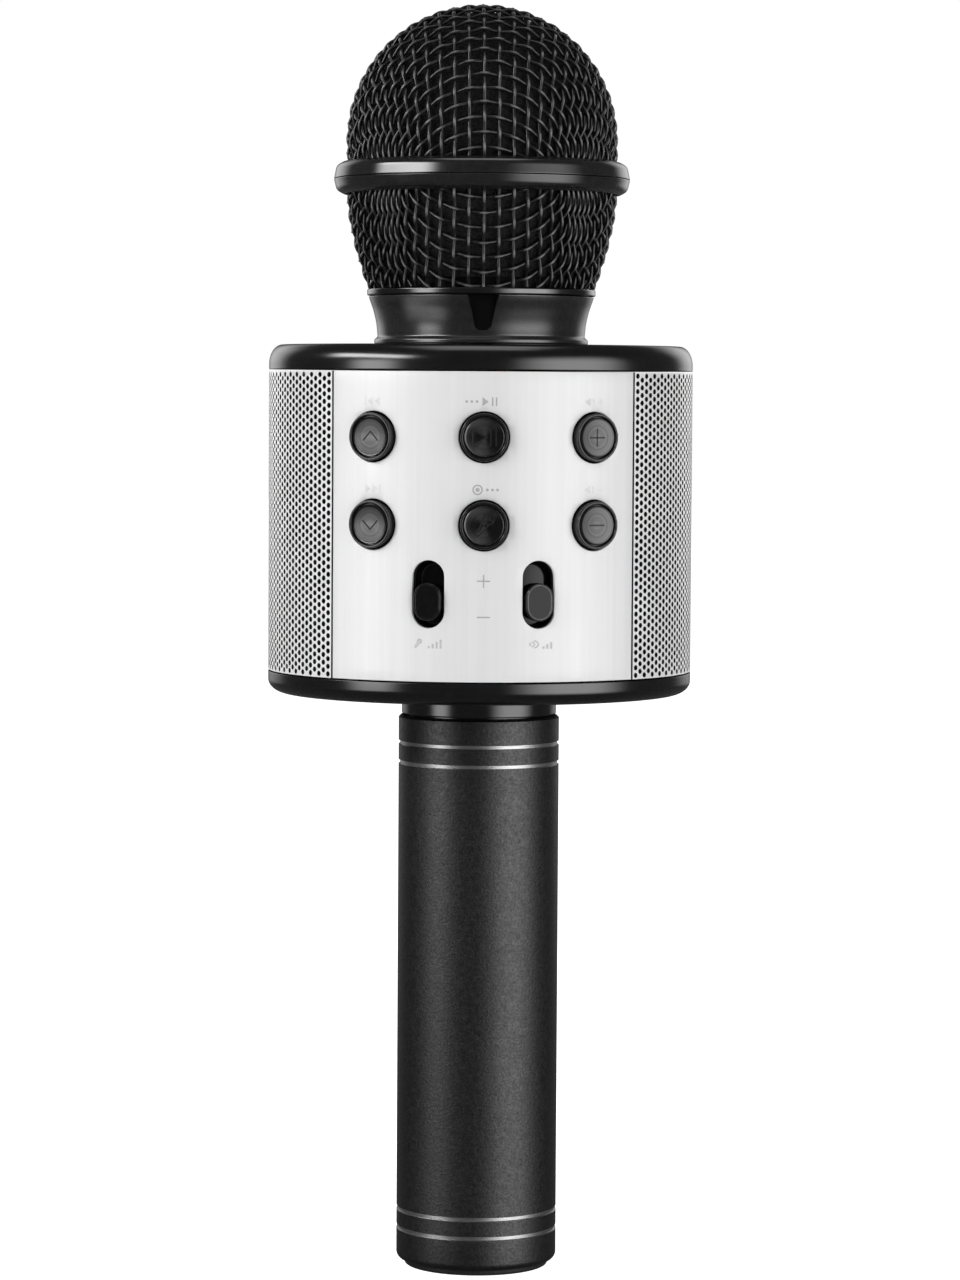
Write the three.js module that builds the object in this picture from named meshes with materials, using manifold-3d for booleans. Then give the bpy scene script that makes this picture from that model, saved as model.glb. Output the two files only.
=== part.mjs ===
// Karaoke microphone with a built-in loudspeaker: a ball grille on a neck collar, a round speaker drum
// with a curved control panel, and a tubular handle that holds the battery.
// Millimetres, +Z up. The microphone stands on its end cap: the origin is the centre of that cap's
// flat face, the control panel faces -Y and +X is to the right of somebody who looks at the panel.
import * as THREE from "three";
import { mergeVertices } from "three/addons/utils/BufferGeometryUtils.js";
import Module from "manifold-3d";

const wasm = await Module();
wasm.setup();

// ---------------------------------------------------------------- driving dimensions

const GAP = 0.3; // clearance between two neighbouring pieces
const SIDES = { drum: 36, head: 24, handle: 20, speaker: 20, inner: 18, button: 14, small: 10 };
const DOME_STEPS = 7; // facets from the grille's equator to its pole

const HANDLE = { radius: 15.6, bore: 14.3, bottom: 1.0, top: 107.6, edge: 1.5, chamfer: 0.4 };
const GROOVE = { heights: [7.5, 11.2, 98.5, 102.3], width: 0.85, depth: 0.3 };
const END_CAP = { radius: 14.0, height: 6.0, floor: 2.0, edge: 0.6, pocket: 11.5 };

const BATTERY = { radius: 9.2, bottom: 22, length: 65, nub: [3, 0.8] };
const BATTERY_SLEEVE = { bore: 9.6, radius: 13.9, bottom: 20, top: 89 };
const CABLE_RADIUS = 1.1;

const NECK = { radius: 15.0, spigot: 13.9, spigotBottom: 98, bore: 10.5 };

const DRUM = {
  radius: 41.0,
  bottom: 112.0,
  seamLow: 116.3,
  seamHigh: 174.3,
  top: 179.2,
  rim: 38.4, // inner radius of both covers' rims
  floorTop: 114.2,
  ceiling: 177.0,
  lowEdge: { radial: 3.4, height: 2.6 },
  highEdge: { radial: 2.4, height: 3.0 },
  topBore: 9.0,
};
const SHELL_LOW = DRUM.seamLow + 0.2; // lower and upper ends of the drum's wall pieces
const SHELL_HIGH = DRUM.seamHigh - 0.2;

const PANEL = { inner: 40.3, halfAngle: 43.2 };
const GRILLE = { inner: 40.5, from: 43.7 };
const CLOTH = { inner: 39.85, outer: 40.2, from: 44.5 };
const FRAME = { inner: 38.2, outer: 39.9, halfAngle: 42 };
const SKELETON = { inner: 37.9, outer: 39.55, from: 44.5 };
const WINDOWS = { count: 5, pitch: 40, angle: 32, low: 123, high: 168 };

const BUTTON = {
  hole: 4.8,
  radius: 4.45,
  face: 42.2, // distance of the rim from the drum's axis
  dish: 0.4,
  back: 36.6,
  flange: 5.5,
  flangeDepth: 0.8,
  stem: 1.5,
  stemTip: -29.6,
};
const BUTTON_ANGLE = 30.3;
const BUTTON_ROWS = [161.9, 145.6];

const SLOT = { width: 6.1, height: 12.6, angle: 14.5, z: 132.8 };
const KNOB = { width: 5.2, height: 7.1, z: 131.4, face: 41.9, back: 39.0 };
const LEVER = { width: 1.6, height: 2.4, tip: -29.2 };
const LEVER_TRAVEL = { down: 1.2, up: 4.0 };
const SHIELD = { inner: 37.0, outer: 37.8, halfAngle: 5.5, low: 122.0, high: 140.8 };
const FADER = { width: 7, low: 121.8, high: 143.8, front: -33.5, slotDepth: 5, slotWidth: 2.4 };

const CONTROL_BOARD = { halfWidth: 24, front: -25.5, back: -23.9, low: 119, high: 171.5 };
const SWITCH = { size: 6, front: -28.4, plunger: 1.7, plungerTip: -29.0 };
const MAIN_BOARD = { radius: 36, front: -22, low: 124.0, high: 125.6 };

const SPEAKER_Z = 147;
const BAFFLE = { halfWidth: 22, front: 28, back: 30.2, low: 126.4, high: 172, hole: 18.5 };

const SOCKET_RING = 26; // distance of the sockets from the drum's axis
const SOCKET_TOP = MAIN_BOARD.low - GAP;
const CARD = { across: 13.6, deep: 3.0, slotAcross: 11.4, slotDeep: 1.1, roof: 2 };
const AUX = { body: 6.6, barrel: 3.0, bore: 1.8, roof: 2 };
const POWER = { across: 9.0, deep: 4.6, slotAcross: 5.6, slotDeep: 2.4, slotTop: 119 };
const POWER_KNOB = { from: -2.4, to: 0.2, deep: 1.8, proud: 1.0, top: 118.2 };
const SCREW = {
  ring: 33.8,
  angles: [58, 135, 225, 302],
  hole: 1.5,
  headHole: 2.9,
  sink: 1.4,
  tip: 120,
  holeEnd: 121.2,
};
const DRIVE = { halfWidth: 0.35, halfLength: 1.6, depth: 0.5 }; // the cross in a screw's head
const POST = { radius: 3.4, low: DRUM.floorTop + GAP, high: MAIN_BOARD.low - 0.4, web: 1.5 };

const COLLAR = { bottom: 179.5, shoulder: 188.4, top: 194.5, bore: 16.0, spigot: 18.6, ridge: 19.0 };
const NOTCH = { top: 5.9, bottom: 4.0, height: 6.8, depth: 1.3 };
const RING = { bottom: 188.75, lipTop: 190.0, top: 194.7, bore: 19.3, lip: 22.1, skirt: 20.4 };

const MESH_WALL = 1.3; // thickness of the wire grille with its supporting layer
const BASKET = { bottom: 190.3, low: 190.0, high: 208.3, top: 210.9, lowRadius: 22.0, highRadius: 26.25 };
const BASKET_SWELL = 1.6; // how strongly the basket's side bulges
const SKIRT = 25.85; // radius of the grille's edges where the band covers them
const BAND = { bore: 26.2, edge: 26.5, corner: 28.0, ridge: 28.6, low: 208.3, seam: 211.2, high: 214.5 };
const BAND_BEVEL = 0.8;
const DOME = { bottom: 211.3, radius: 26.3, centre: 218.6 };
const FOAM = { bottom: 195.2, radius: 24.2, wall: 2.2 };

// ---------------------------------------------------------------- solids

const radians = (degrees) => (degrees * Math.PI) / 180;

// A closed three.js geometry as a manifold solid whose faces point out.
function toSolid(geometry) {
  const bare = geometry.index ? geometry.toNonIndexed() : geometry.clone();
  bare.deleteAttribute("normal");
  bare.deleteAttribute("uv");
  const merged = mergeVertices(bare, 1e-4);
  const corners = merged.index.array;
  const triangles = [];
  for (let i = 0; i < corners.length; i += 3) {
    const [a, b, c] = [corners[i], corners[i + 1], corners[i + 2]];
    if (a !== b && b !== c && c !== a) triangles.push(a, b, c);
  }
  const vertProperties = new Float32Array(merged.attributes.position.array);
  const build = (order) =>
    new wasm.Manifold(
      new wasm.Mesh({ numProp: 3, vertProperties, triVerts: new Uint32Array(order) }),
    );
  const made = build(triangles);
  return made.volume() >= 0 ? made : build(triangles.reverse());
}

function toGeometry(solid) {
  const { vertProperties, triVerts } = solid.getMesh();
  const geometry = new THREE.BufferGeometry();
  geometry.setAttribute("position", new THREE.BufferAttribute(new Float32Array(vertProperties), 3));
  geometry.setIndex(new THREE.BufferAttribute(new Uint32Array(triVerts), 1));
  return geometry;
}

const cut = (base, ...tools) =>
  toGeometry(tools.reduce((left, tool) => left.subtract(toSolid(tool)), toSolid(base)));

const join = (...pieces) =>
  toGeometry(pieces.map(toSolid).reduce((whole, piece) => whole.add(piece)));

// A solid of revolution about Z from [radius, z] points. A profile that starts off the axis is a ring.
function turned(profile, sides) {
  const closed = profile[0][0] > 0 ? [...profile, profile[0]] : profile;
  const points = closed.map(([radius, z]) => new THREE.Vector2(radius, z));
  return toGeometry(toSolid(new THREE.LatheGeometry(points, sides).rotateX(Math.PI / 2)));
}

// Points of a quarter-ellipse edge, from angle to angle in degrees about its centre.
function edgeArc(centreRadius, centreZ, radial, height, from, to, steps) {
  const points = [];
  for (let i = 0; i <= steps; i += 1) {
    const angle = radians(from + ((to - from) * i) / steps);
    points.push([centreRadius + radial * Math.cos(angle), centreZ + height * Math.sin(angle)]);
  }
  return points;
}

function block([x0, x1], [y0, y1], [z0, z1]) {
  const geometry = new THREE.BoxGeometry(x1 - x0, y1 - y0, z1 - z0);
  return geometry.translate((x0 + x1) / 2, (y0 + y1) / 2, (z0 + z1) / 2);
}

// A point on a circle about Z: azimuth 0 is the front (-Y), 90 the right (+X).
function around(radius, azimuth) {
  const angle = radians(azimuth);
  return [radius * Math.sin(angle), -radius * Math.cos(angle)];
}

// A curved plate that follows the drum's wall between two azimuths.
function curvedPlate(inner, outer, [low, high], [from, to]) {
  const steps = Math.ceil((to - from) / (360 / SIDES.drum));
  const shape = new THREE.Shape();
  for (let i = 0; i <= steps; i += 1) {
    const [x, y] = around(outer, from + ((to - from) * i) / steps);
    if (i === 0) shape.moveTo(x, y);
    else shape.lineTo(x, y);
  }
  for (let i = steps; i >= 0; i -= 1) {
    shape.lineTo(...around(inner, from + ((to - from) * i) / steps));
  }
  shape.closePath();
  const geometry = new THREE.ExtrudeGeometry(shape, { depth: high - low, bevelEnabled: false });
  return geometry.translate(0, 0, low);
}

// An upright stadium outline, extruded along the drum's radius between two distances from the axis.
function radialStadium(width, height, [near, far], azimuth, z) {
  const radius = width / 2;
  const straight = height / 2 - radius;
  const shape = new THREE.Shape();
  shape.absarc(0, straight, radius, 0, Math.PI, false);
  shape.absarc(0, -straight, radius, Math.PI, 2 * Math.PI, false);
  const options = { depth: far - near, bevelEnabled: false, curveSegments: 5 };
  const geometry = new THREE.ExtrudeGeometry(shape, options);
  geometry.translate(0, 0, near).rotateX(Math.PI / 2);
  return geometry.rotateZ(radians(azimuth)).translate(0, 0, z);
}

// A body of revolution about one of the drum's radii, from [radius, distance from the axis] points.
function radialTurned(profile, sides, azimuth, z) {
  const geometry = turned(profile, sides).rotateX(Math.PI / 2);
  return geometry.rotateZ(radians(azimuth)).translate(0, 0, z);
}

// A body of revolution about the loudspeaker's axis, from [radius, y] points.
function speakerTurned(profile) {
  return turned(profile, SIDES.speaker).rotateX(-Math.PI / 2).translate(0, 0, SPEAKER_Z);
}

// A round wire bundle along a smooth route.
function cable(route, radius) {
  const path = new THREE.CatmullRomCurve3(route.map((point) => new THREE.Vector3(...point)));
  const section = new THREE.Shape();
  section.absarc(0, 0, radius, 0, 2 * Math.PI, false);
  return new THREE.ExtrudeGeometry(section, {
    extrudePath: path,
    steps: 14,
    curveSegments: 4,
    bevelEnabled: false,
  });
}

// ---------------------------------------------------------------- finishes and the assembly

const FINISH = {
  anodised: { color: 0x3b3b3d, roughness: 0.45, metalness: 0.9 },
  glossBlack: { color: 0x101012, roughness: 0.12, metalness: 0.0 },
  mattBlack: { color: 0x18181a, roughness: 0.6, metalness: 0.0 },
  brushed: { color: 0xc9cacc, roughness: 0.32, metalness: 0.9 },
  perforated: { color: 0xb4b5b8, roughness: 0.35, metalness: 0.9 },
  buttonGrey: { color: 0x333336, roughness: 0.3, metalness: 0.1 },
  wire: { color: 0x1c1c1e, roughness: 0.35, metalness: 0.7 },
  chrome: { color: 0xd8dade, roughness: 0.08, metalness: 1.0 },
  foam: { color: 0x3a3a3c, roughness: 1.0, metalness: 0.0 },
  cloth: { color: 0x141416, roughness: 0.95, metalness: 0.0 },
  frame: { color: 0x222224, roughness: 0.55, metalness: 0.0 },
  board: { color: 0x17502f, roughness: 0.5, metalness: 0.0 },
  chip: { color: 0x151517, roughness: 0.5, metalness: 0.0 },
  steel: { color: 0xa9abae, roughness: 0.35, metalness: 0.95 },
  magnet: { color: 0x2c2c2e, roughness: 0.6, metalness: 0.4 },
  rubber: { color: 0x1a1a1b, roughness: 0.85, metalness: 0.0 },
  paper: { color: 0x26241f, roughness: 0.95, metalness: 0.0 },
  cell: { color: 0x2f6fa8, roughness: 0.4, metalness: 0.0 },
  wireRed: { color: 0x9c2b22, roughness: 0.5, metalness: 0.0 },
};

const microphone = new THREE.Group();

function add(name, finish, geometry, parent = microphone) {
  const mesh = new THREE.Mesh(geometry, new THREE.MeshStandardMaterial(finish));
  mesh.name = name;
  parent.add(mesh);
  return mesh;
}

// A group turned about Z, so that its own -Y side faces the given azimuth.
function facing(azimuth) {
  const group = new THREE.Group();
  group.rotation.z = radians(azimuth);
  microphone.add(group);
  return group;
}

// ---------------------------------------------------------------- handle

function addHandle() {
  const { radius, bore, bottom, top, edge, chamfer } = HANDLE;
  const grooves = GROOVE.heights.flatMap((height) => [
    [radius, height - GROOVE.width / 2],
    [radius - GROOVE.depth, height - GROOVE.width / 2],
    [radius - GROOVE.depth, height + GROOVE.width / 2],
    [radius, height + GROOVE.width / 2],
  ]);
  const tube = [
    [bore, bottom],
    ...edgeArc(radius - edge, bottom + edge, edge, edge, -90, 0, 3),
    ...grooves,
    [radius, top - chamfer],
    [radius - chamfer, top],
    [bore, top],
  ];
  add("handle_tube", FINISH.anodised, turned(tube, SIDES.handle));

  const cap = [
    [0, 0],
    [END_CAP.radius - END_CAP.edge, 0],
    [END_CAP.radius, END_CAP.edge],
    [END_CAP.radius, END_CAP.height],
    [END_CAP.pocket, END_CAP.height],
    [END_CAP.pocket, END_CAP.floor],
    [0, END_CAP.floor],
  ];
  add("handle_end_cap", FINISH.mattBlack, turned(cap, SIDES.handle));
}

function addBattery() {
  const top = BATTERY.bottom + BATTERY.length;
  const [nubRadius, nubHeight] = BATTERY.nub;
  const cell = [
    [0, BATTERY.bottom],
    [BATTERY.radius, BATTERY.bottom],
    [BATTERY.radius, top],
    [nubRadius, top],
    [nubRadius, top + nubHeight],
    [0, top + nubHeight],
  ];
  add("battery_cell", FINISH.cell, turned(cell, SIDES.inner));

  const sleeve = [
    [BATTERY_SLEEVE.bore, BATTERY_SLEEVE.bottom],
    [BATTERY_SLEEVE.radius, BATTERY_SLEEVE.bottom],
    [BATTERY_SLEEVE.radius, BATTERY_SLEEVE.top],
    [BATTERY_SLEEVE.bore, BATTERY_SLEEVE.top],
  ];
  add("battery_sleeve", FINISH.frame, turned(sleeve, SIDES.inner));

  const route = [
    [5, 0, BATTERY_SLEEVE.top + 0.5],
    [6, 1, 97],
    [5, 2, 106],
    [6, 4, 115],
    [8, 6, MAIN_BOARD.low - 0.4],
  ];
  add("battery_cable", FINISH.wireRed, cable(route, CABLE_RADIUS));
}

// ---------------------------------------------------------------- drum shells

// The sockets in the drum's underside: azimuth and the opening [across, deep] that each one needs.
const OPENING_CLEARANCE = 0.4;
const UNDERSIDE = {
  usb: { azimuth: 180, size: [13.1, 5.7] },
  charging: { azimuth: 96, size: [8.9, 3.3] },
  card: { azimuth: 66, size: [12.0, 1.8] },
  aux: { azimuth: -118, radius: AUX.barrel },
  power: { azimuth: -90, size: [5.6, 2.0] },
};

function undersideOpenings() {
  const throughFloor = [DRUM.bottom - 1, DRUM.floorTop + 1];
  return Object.values(UNDERSIDE).map(({ azimuth, size, radius }) => {
    if (radius) {
      const hole = radius + OPENING_CLEARANCE;
      const height = throughFloor[1] - throughFloor[0];
      const tool = new THREE.CylinderGeometry(hole, hole, height, SIDES.button);
      const [x, y] = around(SOCKET_RING, azimuth);
      return tool.rotateX(Math.PI / 2).translate(x, y, (throughFloor[0] + throughFloor[1]) / 2);
    }
    const across = size[0] / 2 + OPENING_CLEARANCE;
    const deep = size[1] / 2 + OPENING_CLEARANCE;
    const tool = block([-across, across], [-SOCKET_RING - deep, -SOCKET_RING + deep], throughFloor);
    return tool.rotateZ(radians(azimuth));
  });
}

// The stepped hole of a cover screw, which runs from the cover's underside up into its post.
function screwHoleTool(azimuth) {
  const { hole, headHole, sink, holeEnd } = SCREW;
  const profile = [
    [0, DRUM.bottom - 1],
    [headHole, DRUM.bottom - 1],
    [headHole, DRUM.bottom + sink],
    [hole, DRUM.bottom + sink],
    [hole, holeEnd],
    [0, holeEnd],
  ];
  const [x, y] = around(SCREW.ring, azimuth);
  return turned(profile, SIDES.small).translate(x, y, 0);
}

function addDrumCovers() {
  const { radius, rim, bottom, top, seamLow, seamHigh, lowEdge, highEdge } = DRUM;
  const lower = [
    [NECK.bore, NECK.spigotBottom],
    [NECK.spigot, NECK.spigotBottom],
    [NECK.spigot, HANDLE.top + GAP],
    [NECK.radius, HANDLE.top + GAP],
    [NECK.radius, bottom],
    ...edgeArc(
      radius - lowEdge.radial,
      bottom + lowEdge.height,
      lowEdge.radial,
      lowEdge.height,
      -90,
      0,
      3,
    ),
    [radius, seamLow - 0.1],
    [rim, seamLow - 0.1],
    [rim, DRUM.floorTop],
    [NECK.bore, DRUM.floorTop],
  ];
  const screwHoles = SCREW.angles.map(screwHoleTool);
  const lowerCover = cut(turned(lower, SIDES.drum), ...undersideOpenings(), ...screwHoles);
  add("drum_bottom_cover", FINISH.glossBlack, lowerCover);

  const upper = [
    [DRUM.topBore, DRUM.ceiling],
    [rim, DRUM.ceiling],
    [rim, seamHigh + 0.1],
    [radius, seamHigh + 0.1],
    ...edgeArc(
      radius - highEdge.radial,
      top - highEdge.height,
      highEdge.radial,
      highEdge.height,
      0,
      90,
      3,
    ),
    [DRUM.topBore, top],
  ];
  add("drum_top_cover", FINISH.glossBlack, turned(upper, SIDES.drum));
}

const buttonAzimuths = [-BUTTON_ANGLE, 0, BUTTON_ANGLE];
const sliderAzimuths = [-SLOT.angle, SLOT.angle];

// The six round holes and two slots that the front panel and the frame behind it share.
function frontOpenings() {
  const through = [FRAME.inner - 2, DRUM.radius + 2];
  const round = [
    [0, through[0]],
    [BUTTON.hole, through[0]],
    [BUTTON.hole, through[1]],
    [0, through[1]],
  ];
  const holes = BUTTON_ROWS.flatMap((z) =>
    buttonAzimuths.map((azimuth) => radialTurned(round, SIDES.button, azimuth, z)),
  );
  const slots = sliderAzimuths.map((azimuth) =>
    radialStadium(SLOT.width, SLOT.height, through, azimuth, SLOT.z),
  );
  return [...holes, ...slots];
}

function addDrumWall() {
  const span = [SHELL_LOW, SHELL_HIGH];
  const inset = [SHELL_LOW + 0.1, SHELL_HIGH - 0.1];
  const openings = frontOpenings();

  const panelArc = [-PANEL.halfAngle, PANEL.halfAngle];
  const panel = curvedPlate(PANEL.inner, DRUM.radius, span, panelArc);
  add("control_panel", FINISH.brushed, cut(panel, ...openings));

  const frameArc = [-FRAME.halfAngle, FRAME.halfAngle];
  const frame = curvedPlate(FRAME.inner, FRAME.outer, inset, frameArc);
  add("button_frame", FINISH.frame, cut(frame, ...openings));

  const grille = curvedPlate(GRILLE.inner, DRUM.radius, span, [GRILLE.from, 360 - GRILLE.from]);
  add("speaker_grille", FINISH.perforated, grille);

  const cloth = curvedPlate(CLOTH.inner, CLOTH.outer, inset, [CLOTH.from, 360 - CLOTH.from]);
  add("acoustic_cloth", FINISH.cloth, cloth);
}

function addDrumSkeleton() {
  const inset = [SHELL_LOW + 0.1, SHELL_HIGH - 0.2];
  const arc = [SKELETON.from, 360 - SKELETON.from];
  const wall = curvedPlate(SKELETON.inner, SKELETON.outer, inset, arc);
  const windows = [];
  for (let i = 0; i < WINDOWS.count; i += 1) {
    const middle = 180 + (i - (WINDOWS.count - 1) / 2) * WINDOWS.pitch;
    const sides = [middle - WINDOWS.angle / 2, middle + WINDOWS.angle / 2];
    const reach = [SKELETON.inner - 1, SKELETON.outer + 1];
    windows.push(curvedPlate(...reach, [WINDOWS.low, WINDOWS.high], sides));
  }
  const posts = SCREW.angles.flatMap((azimuth) => {
    const height = POST.high - POST.low;
    const post = new THREE.CylinderGeometry(POST.radius, POST.radius, height, SIDES.small);
    const [x, y] = around(SCREW.ring, azimuth);
    post.rotateX(Math.PI / 2).translate(x, y, (POST.low + POST.high) / 2);
    const webHeights = [SHELL_LOW + 0.1, POST.high];
    const webDepth = [-SKELETON.inner - 0.8, -SCREW.ring - 1];
    const web = block([-POST.web, POST.web], webDepth, webHeights);
    return [post, web.rotateZ(radians(azimuth))];
  });
  const whole = join(cut(wall, ...windows), ...posts);
  add("drum_skeleton", FINISH.frame, cut(whole, ...SCREW.angles.map(screwHoleTool)));
}

function addCoverScrews() {
  const headBottom = DRUM.bottom + 0.1;
  const headTop = DRUM.bottom + SCREW.sink - GAP;
  const headRadius = SCREW.headHole - 0.4;
  const shankRadius = SCREW.hole - GAP;
  const profile = [
    [0, headBottom],
    [headRadius, headBottom],
    [headRadius, headTop],
    [shankRadius, headTop],
    [shankRadius, SCREW.tip],
    [0, SCREW.tip],
  ];
  const driveDepth = [headBottom - 1, headBottom + DRIVE.depth];
  const across = [-DRIVE.halfWidth, DRIVE.halfWidth];
  const along = [-DRIVE.halfLength, DRIVE.halfLength];
  const cross = [block(across, along, driveDepth), block(along, across, driveDepth)];
  SCREW.angles.forEach((azimuth, i) => {
    const screw = add(
      `bottom_cover_screw_${i + 1}`,
      FINISH.steel,
      cut(turned(profile, SIDES.small), ...cross),
    );
    const [x, y] = around(SCREW.ring, azimuth);
    screw.position.set(x, y, 0);
  });
}

// ---------------------------------------------------------------- buttons and sliders

const BUTTON_NAMES = [
  ["previous", "play_pause", "volume_up"],
  ["next", "record", "volume_down"],
];

function buttonCap(azimuth, z) {
  const { radius, face, dish, back, flange, flangeDepth } = BUTTON;
  const profile = [
    [0, back],
    [flange, back],
    [flange, back + flangeDepth],
    [radius, back + flangeDepth],
    [radius, face - 0.35],
    [radius - 0.35, face],
    [radius - 0.75, face],
    [radius - 1.2, face - dish / 2],
    [0, face - dish],
  ];
  const cap = radialTurned(profile, SIDES.button, azimuth, z);
  const [x, y] = around(back + flangeDepth / 2, azimuth);
  const length = BUTTON.stemTip - y;
  const stem = new THREE.CylinderGeometry(BUTTON.stem, BUTTON.stem, length, SIDES.small);
  return join(cap, stem.translate(x, y + length / 2, z));
}

function tactSwitch(x, z) {
  const half = SWITCH.size / 2;
  const boardFront = CONTROL_BOARD.front - GAP;
  const body = block([x - half, x + half], [SWITCH.front, boardFront], [z - half, z + half]);
  const length = SWITCH.front + 0.5 - SWITCH.plungerTip;
  const plunger = new THREE.CylinderGeometry(SWITCH.plunger, SWITCH.plunger, length, SIDES.small);
  return join(body, plunger.translate(x, SWITCH.plungerTip + length / 2, z));
}

function addButtons() {
  BUTTON_ROWS.forEach((z, row) => {
    buttonAzimuths.forEach((azimuth, column) => {
      const name = BUTTON_NAMES[row][column];
      const [x] = around(BUTTON.back, azimuth);
      add(`button_${name}`, FINISH.buttonGrey, buttonCap(azimuth, z));
      add(`tact_switch_${name}`, FINISH.chip, tactSwitch(x, z));
    });
  });
}

// Each slider is a knob, the lever behind it that moves the fader, and a curved shield that keeps the
// slot closed wherever the knob stands.
function addSliders() {
  const names = ["mic_volume", "echo"];
  sliderAzimuths.forEach((azimuth, i) => {
    const depth = [KNOB.back, KNOB.face];
    const knob = radialStadium(KNOB.width, KNOB.height, depth, azimuth, KNOB.z);
    const [x, y] = around(KNOB.back + 0.5, azimuth);
    const leverX = [x - LEVER.width / 2, x + LEVER.width / 2];
    const leverZ = [KNOB.z - LEVER.height / 2, KNOB.z + LEVER.height / 2];
    const lever = block(leverX, [y, LEVER.tip], leverZ);
    const shieldArc = [azimuth - SHIELD.halfAngle, azimuth + SHIELD.halfAngle];
    const shieldHeights = [SHIELD.low, SHIELD.high];
    const shield = curvedPlate(SHIELD.inner, SHIELD.outer, shieldHeights, shieldArc);
    add(`${names[i]}_slider`, FINISH.buttonGrey, join(knob, lever, shield));

    const halfWidth = FADER.width / 2;
    const bodyDepth = [FADER.front, CONTROL_BOARD.front - GAP];
    const body = block([x - halfWidth, x + halfWidth], bodyDepth, [FADER.low, FADER.high]);
    const slotX = [x - FADER.slotWidth / 2, x + FADER.slotWidth / 2];
    const slotZ = [
      leverZ[0] - LEVER_TRAVEL.down - 0.4,
      leverZ[1] + LEVER_TRAVEL.up + 0.4,
    ];
    const slot = block(slotX, [FADER.front - 1, FADER.front + FADER.slotDepth], slotZ);
    add(`${names[i]}_fader`, FINISH.steel, cut(body, slot));
  });
}

// ---------------------------------------------------------------- electronics

function addBoards() {
  const { halfWidth, front, back, low, high } = CONTROL_BOARD;
  const panelBoard = block([-halfWidth, halfWidth], [front, back], [low, high]);
  add("control_board", FINISH.board, panelBoard);

  const disc = turned(
    [
      [0, MAIN_BOARD.low],
      [MAIN_BOARD.radius, MAIN_BOARD.low],
      [MAIN_BOARD.radius, MAIN_BOARD.high],
      [0, MAIN_BOARD.high],
    ],
    SIDES.drum,
  );
  const beyond = MAIN_BOARD.radius + 1;
  const boardHeights = [MAIN_BOARD.low - 1, MAIN_BOARD.high + 1];
  const frontCut = block([-beyond, beyond], [-beyond, MAIN_BOARD.front], boardHeights);
  add("main_board", FINISH.board, cut(disc, frontCut));

  const seat = MAIN_BOARD.high + GAP;
  add("wireless_module", FINISH.chip, block([-23, -5], [-18, -6], [seat, seat + 2.2]));
  add("amplifier_chip", FINISH.chip, block([9, 19], [-14, -6], [seat, seat + 1.6]));

  const route = [
    [4, 0, COLLAR.top - 0.3],
    [3, -2, 186],
    [4, -4, 174],
    [8, -10, 152],
    [3, -12, MAIN_BOARD.high + 0.6],
  ];
  add("capsule_cable", FINISH.wireRed, cable(route, CABLE_RADIUS));
}

// A metal-shelled socket that opens downwards, with the tongue that carries its contacts.
function tonguedSocket([across, deep], wall, tongue) {
  const mouth = DRUM.bottom + 0.7;
  const shell = block(
    [-across / 2, across / 2],
    [-SOCKET_RING - deep / 2, -SOCKET_RING + deep / 2],
    [mouth, SOCKET_TOP],
  );
  const cavity = block(
    [-across / 2 + wall, across / 2 - wall],
    [-SOCKET_RING - deep / 2 + wall, -SOCKET_RING + deep / 2 - wall],
    [mouth - 1, SOCKET_TOP - 1.5],
  );
  const blade = block(
    [-across / 2 + 3 * wall, across / 2 - 3 * wall],
    [-SOCKET_RING - tongue / 2, -SOCKET_RING + tongue / 2],
    [mouth + 1, SOCKET_TOP - 1],
  );
  return join(cut(shell, cavity), blade);
}

function addSockets() {
  const { usb, charging, card, aux, power } = UNDERSIDE;
  add("usb_socket", FINISH.steel, tonguedSocket(usb.size, 0.5, 1.8), facing(usb.azimuth));
  add(
    "charging_socket",
    FINISH.steel,
    tonguedSocket(charging.size, 0.35, 0.7),
    facing(charging.azimuth),
  );

  // The other sockets stand on the inside of the drum's floor.
  const insideFloor = DRUM.floorTop + GAP;
  const upright = (across, deep, heights) =>
    block(
      [-across / 2, across / 2],
      [-SOCKET_RING - deep / 2, -SOCKET_RING + deep / 2],
      heights,
    );

  const cardBody = upright(CARD.across, CARD.deep, [insideFloor, SOCKET_TOP]);
  const cardHeights = [insideFloor - 1, SOCKET_TOP - CARD.roof];
  const cardSlot = upright(CARD.slotAcross, CARD.slotDeep, cardHeights);
  add("card_socket", FINISH.steel, cut(cardBody, cardSlot), facing(card.azimuth));

  const barrel = (radius, low, high) =>
    new THREE.CylinderGeometry(radius, radius, high - low, SIDES.button)
      .rotateX(Math.PI / 2)
      .translate(0, -SOCKET_RING, (low + high) / 2);
  const auxBody = upright(AUX.body, AUX.body, [insideFloor, SOCKET_TOP]);
  const auxSolid = join(auxBody, barrel(AUX.barrel, DRUM.bottom + 0.4, insideFloor + 1));
  const auxHole = barrel(AUX.bore, DRUM.bottom - 1, SOCKET_TOP - AUX.roof);
  add("aux_jack", FINISH.chip, cut(auxSolid, auxHole), facing(aux.azimuth));

  const switchBody = upright(POWER.across, POWER.deep, [insideFloor, SOCKET_TOP]);
  const switchHeights = [insideFloor - 1, POWER.slotTop];
  const switchSlot = upright(POWER.slotAcross, POWER.slotDeep, switchHeights);
  add("power_switch_body", FINISH.steel, cut(switchBody, switchSlot), facing(power.azimuth));

  // The knob stands at one end of its slot, a little proud of the drum's underside.
  const knobDepth = [-SOCKET_RING - POWER_KNOB.deep / 2, -SOCKET_RING + POWER_KNOB.deep / 2];
  const knobHeights = [DRUM.bottom - POWER_KNOB.proud, POWER_KNOB.top];
  const knob = block([POWER_KNOB.from, POWER_KNOB.to], knobDepth, knobHeights);
  add("power_switch_knob", FINISH.mattBlack, knob, facing(power.azimuth));
}

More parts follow.
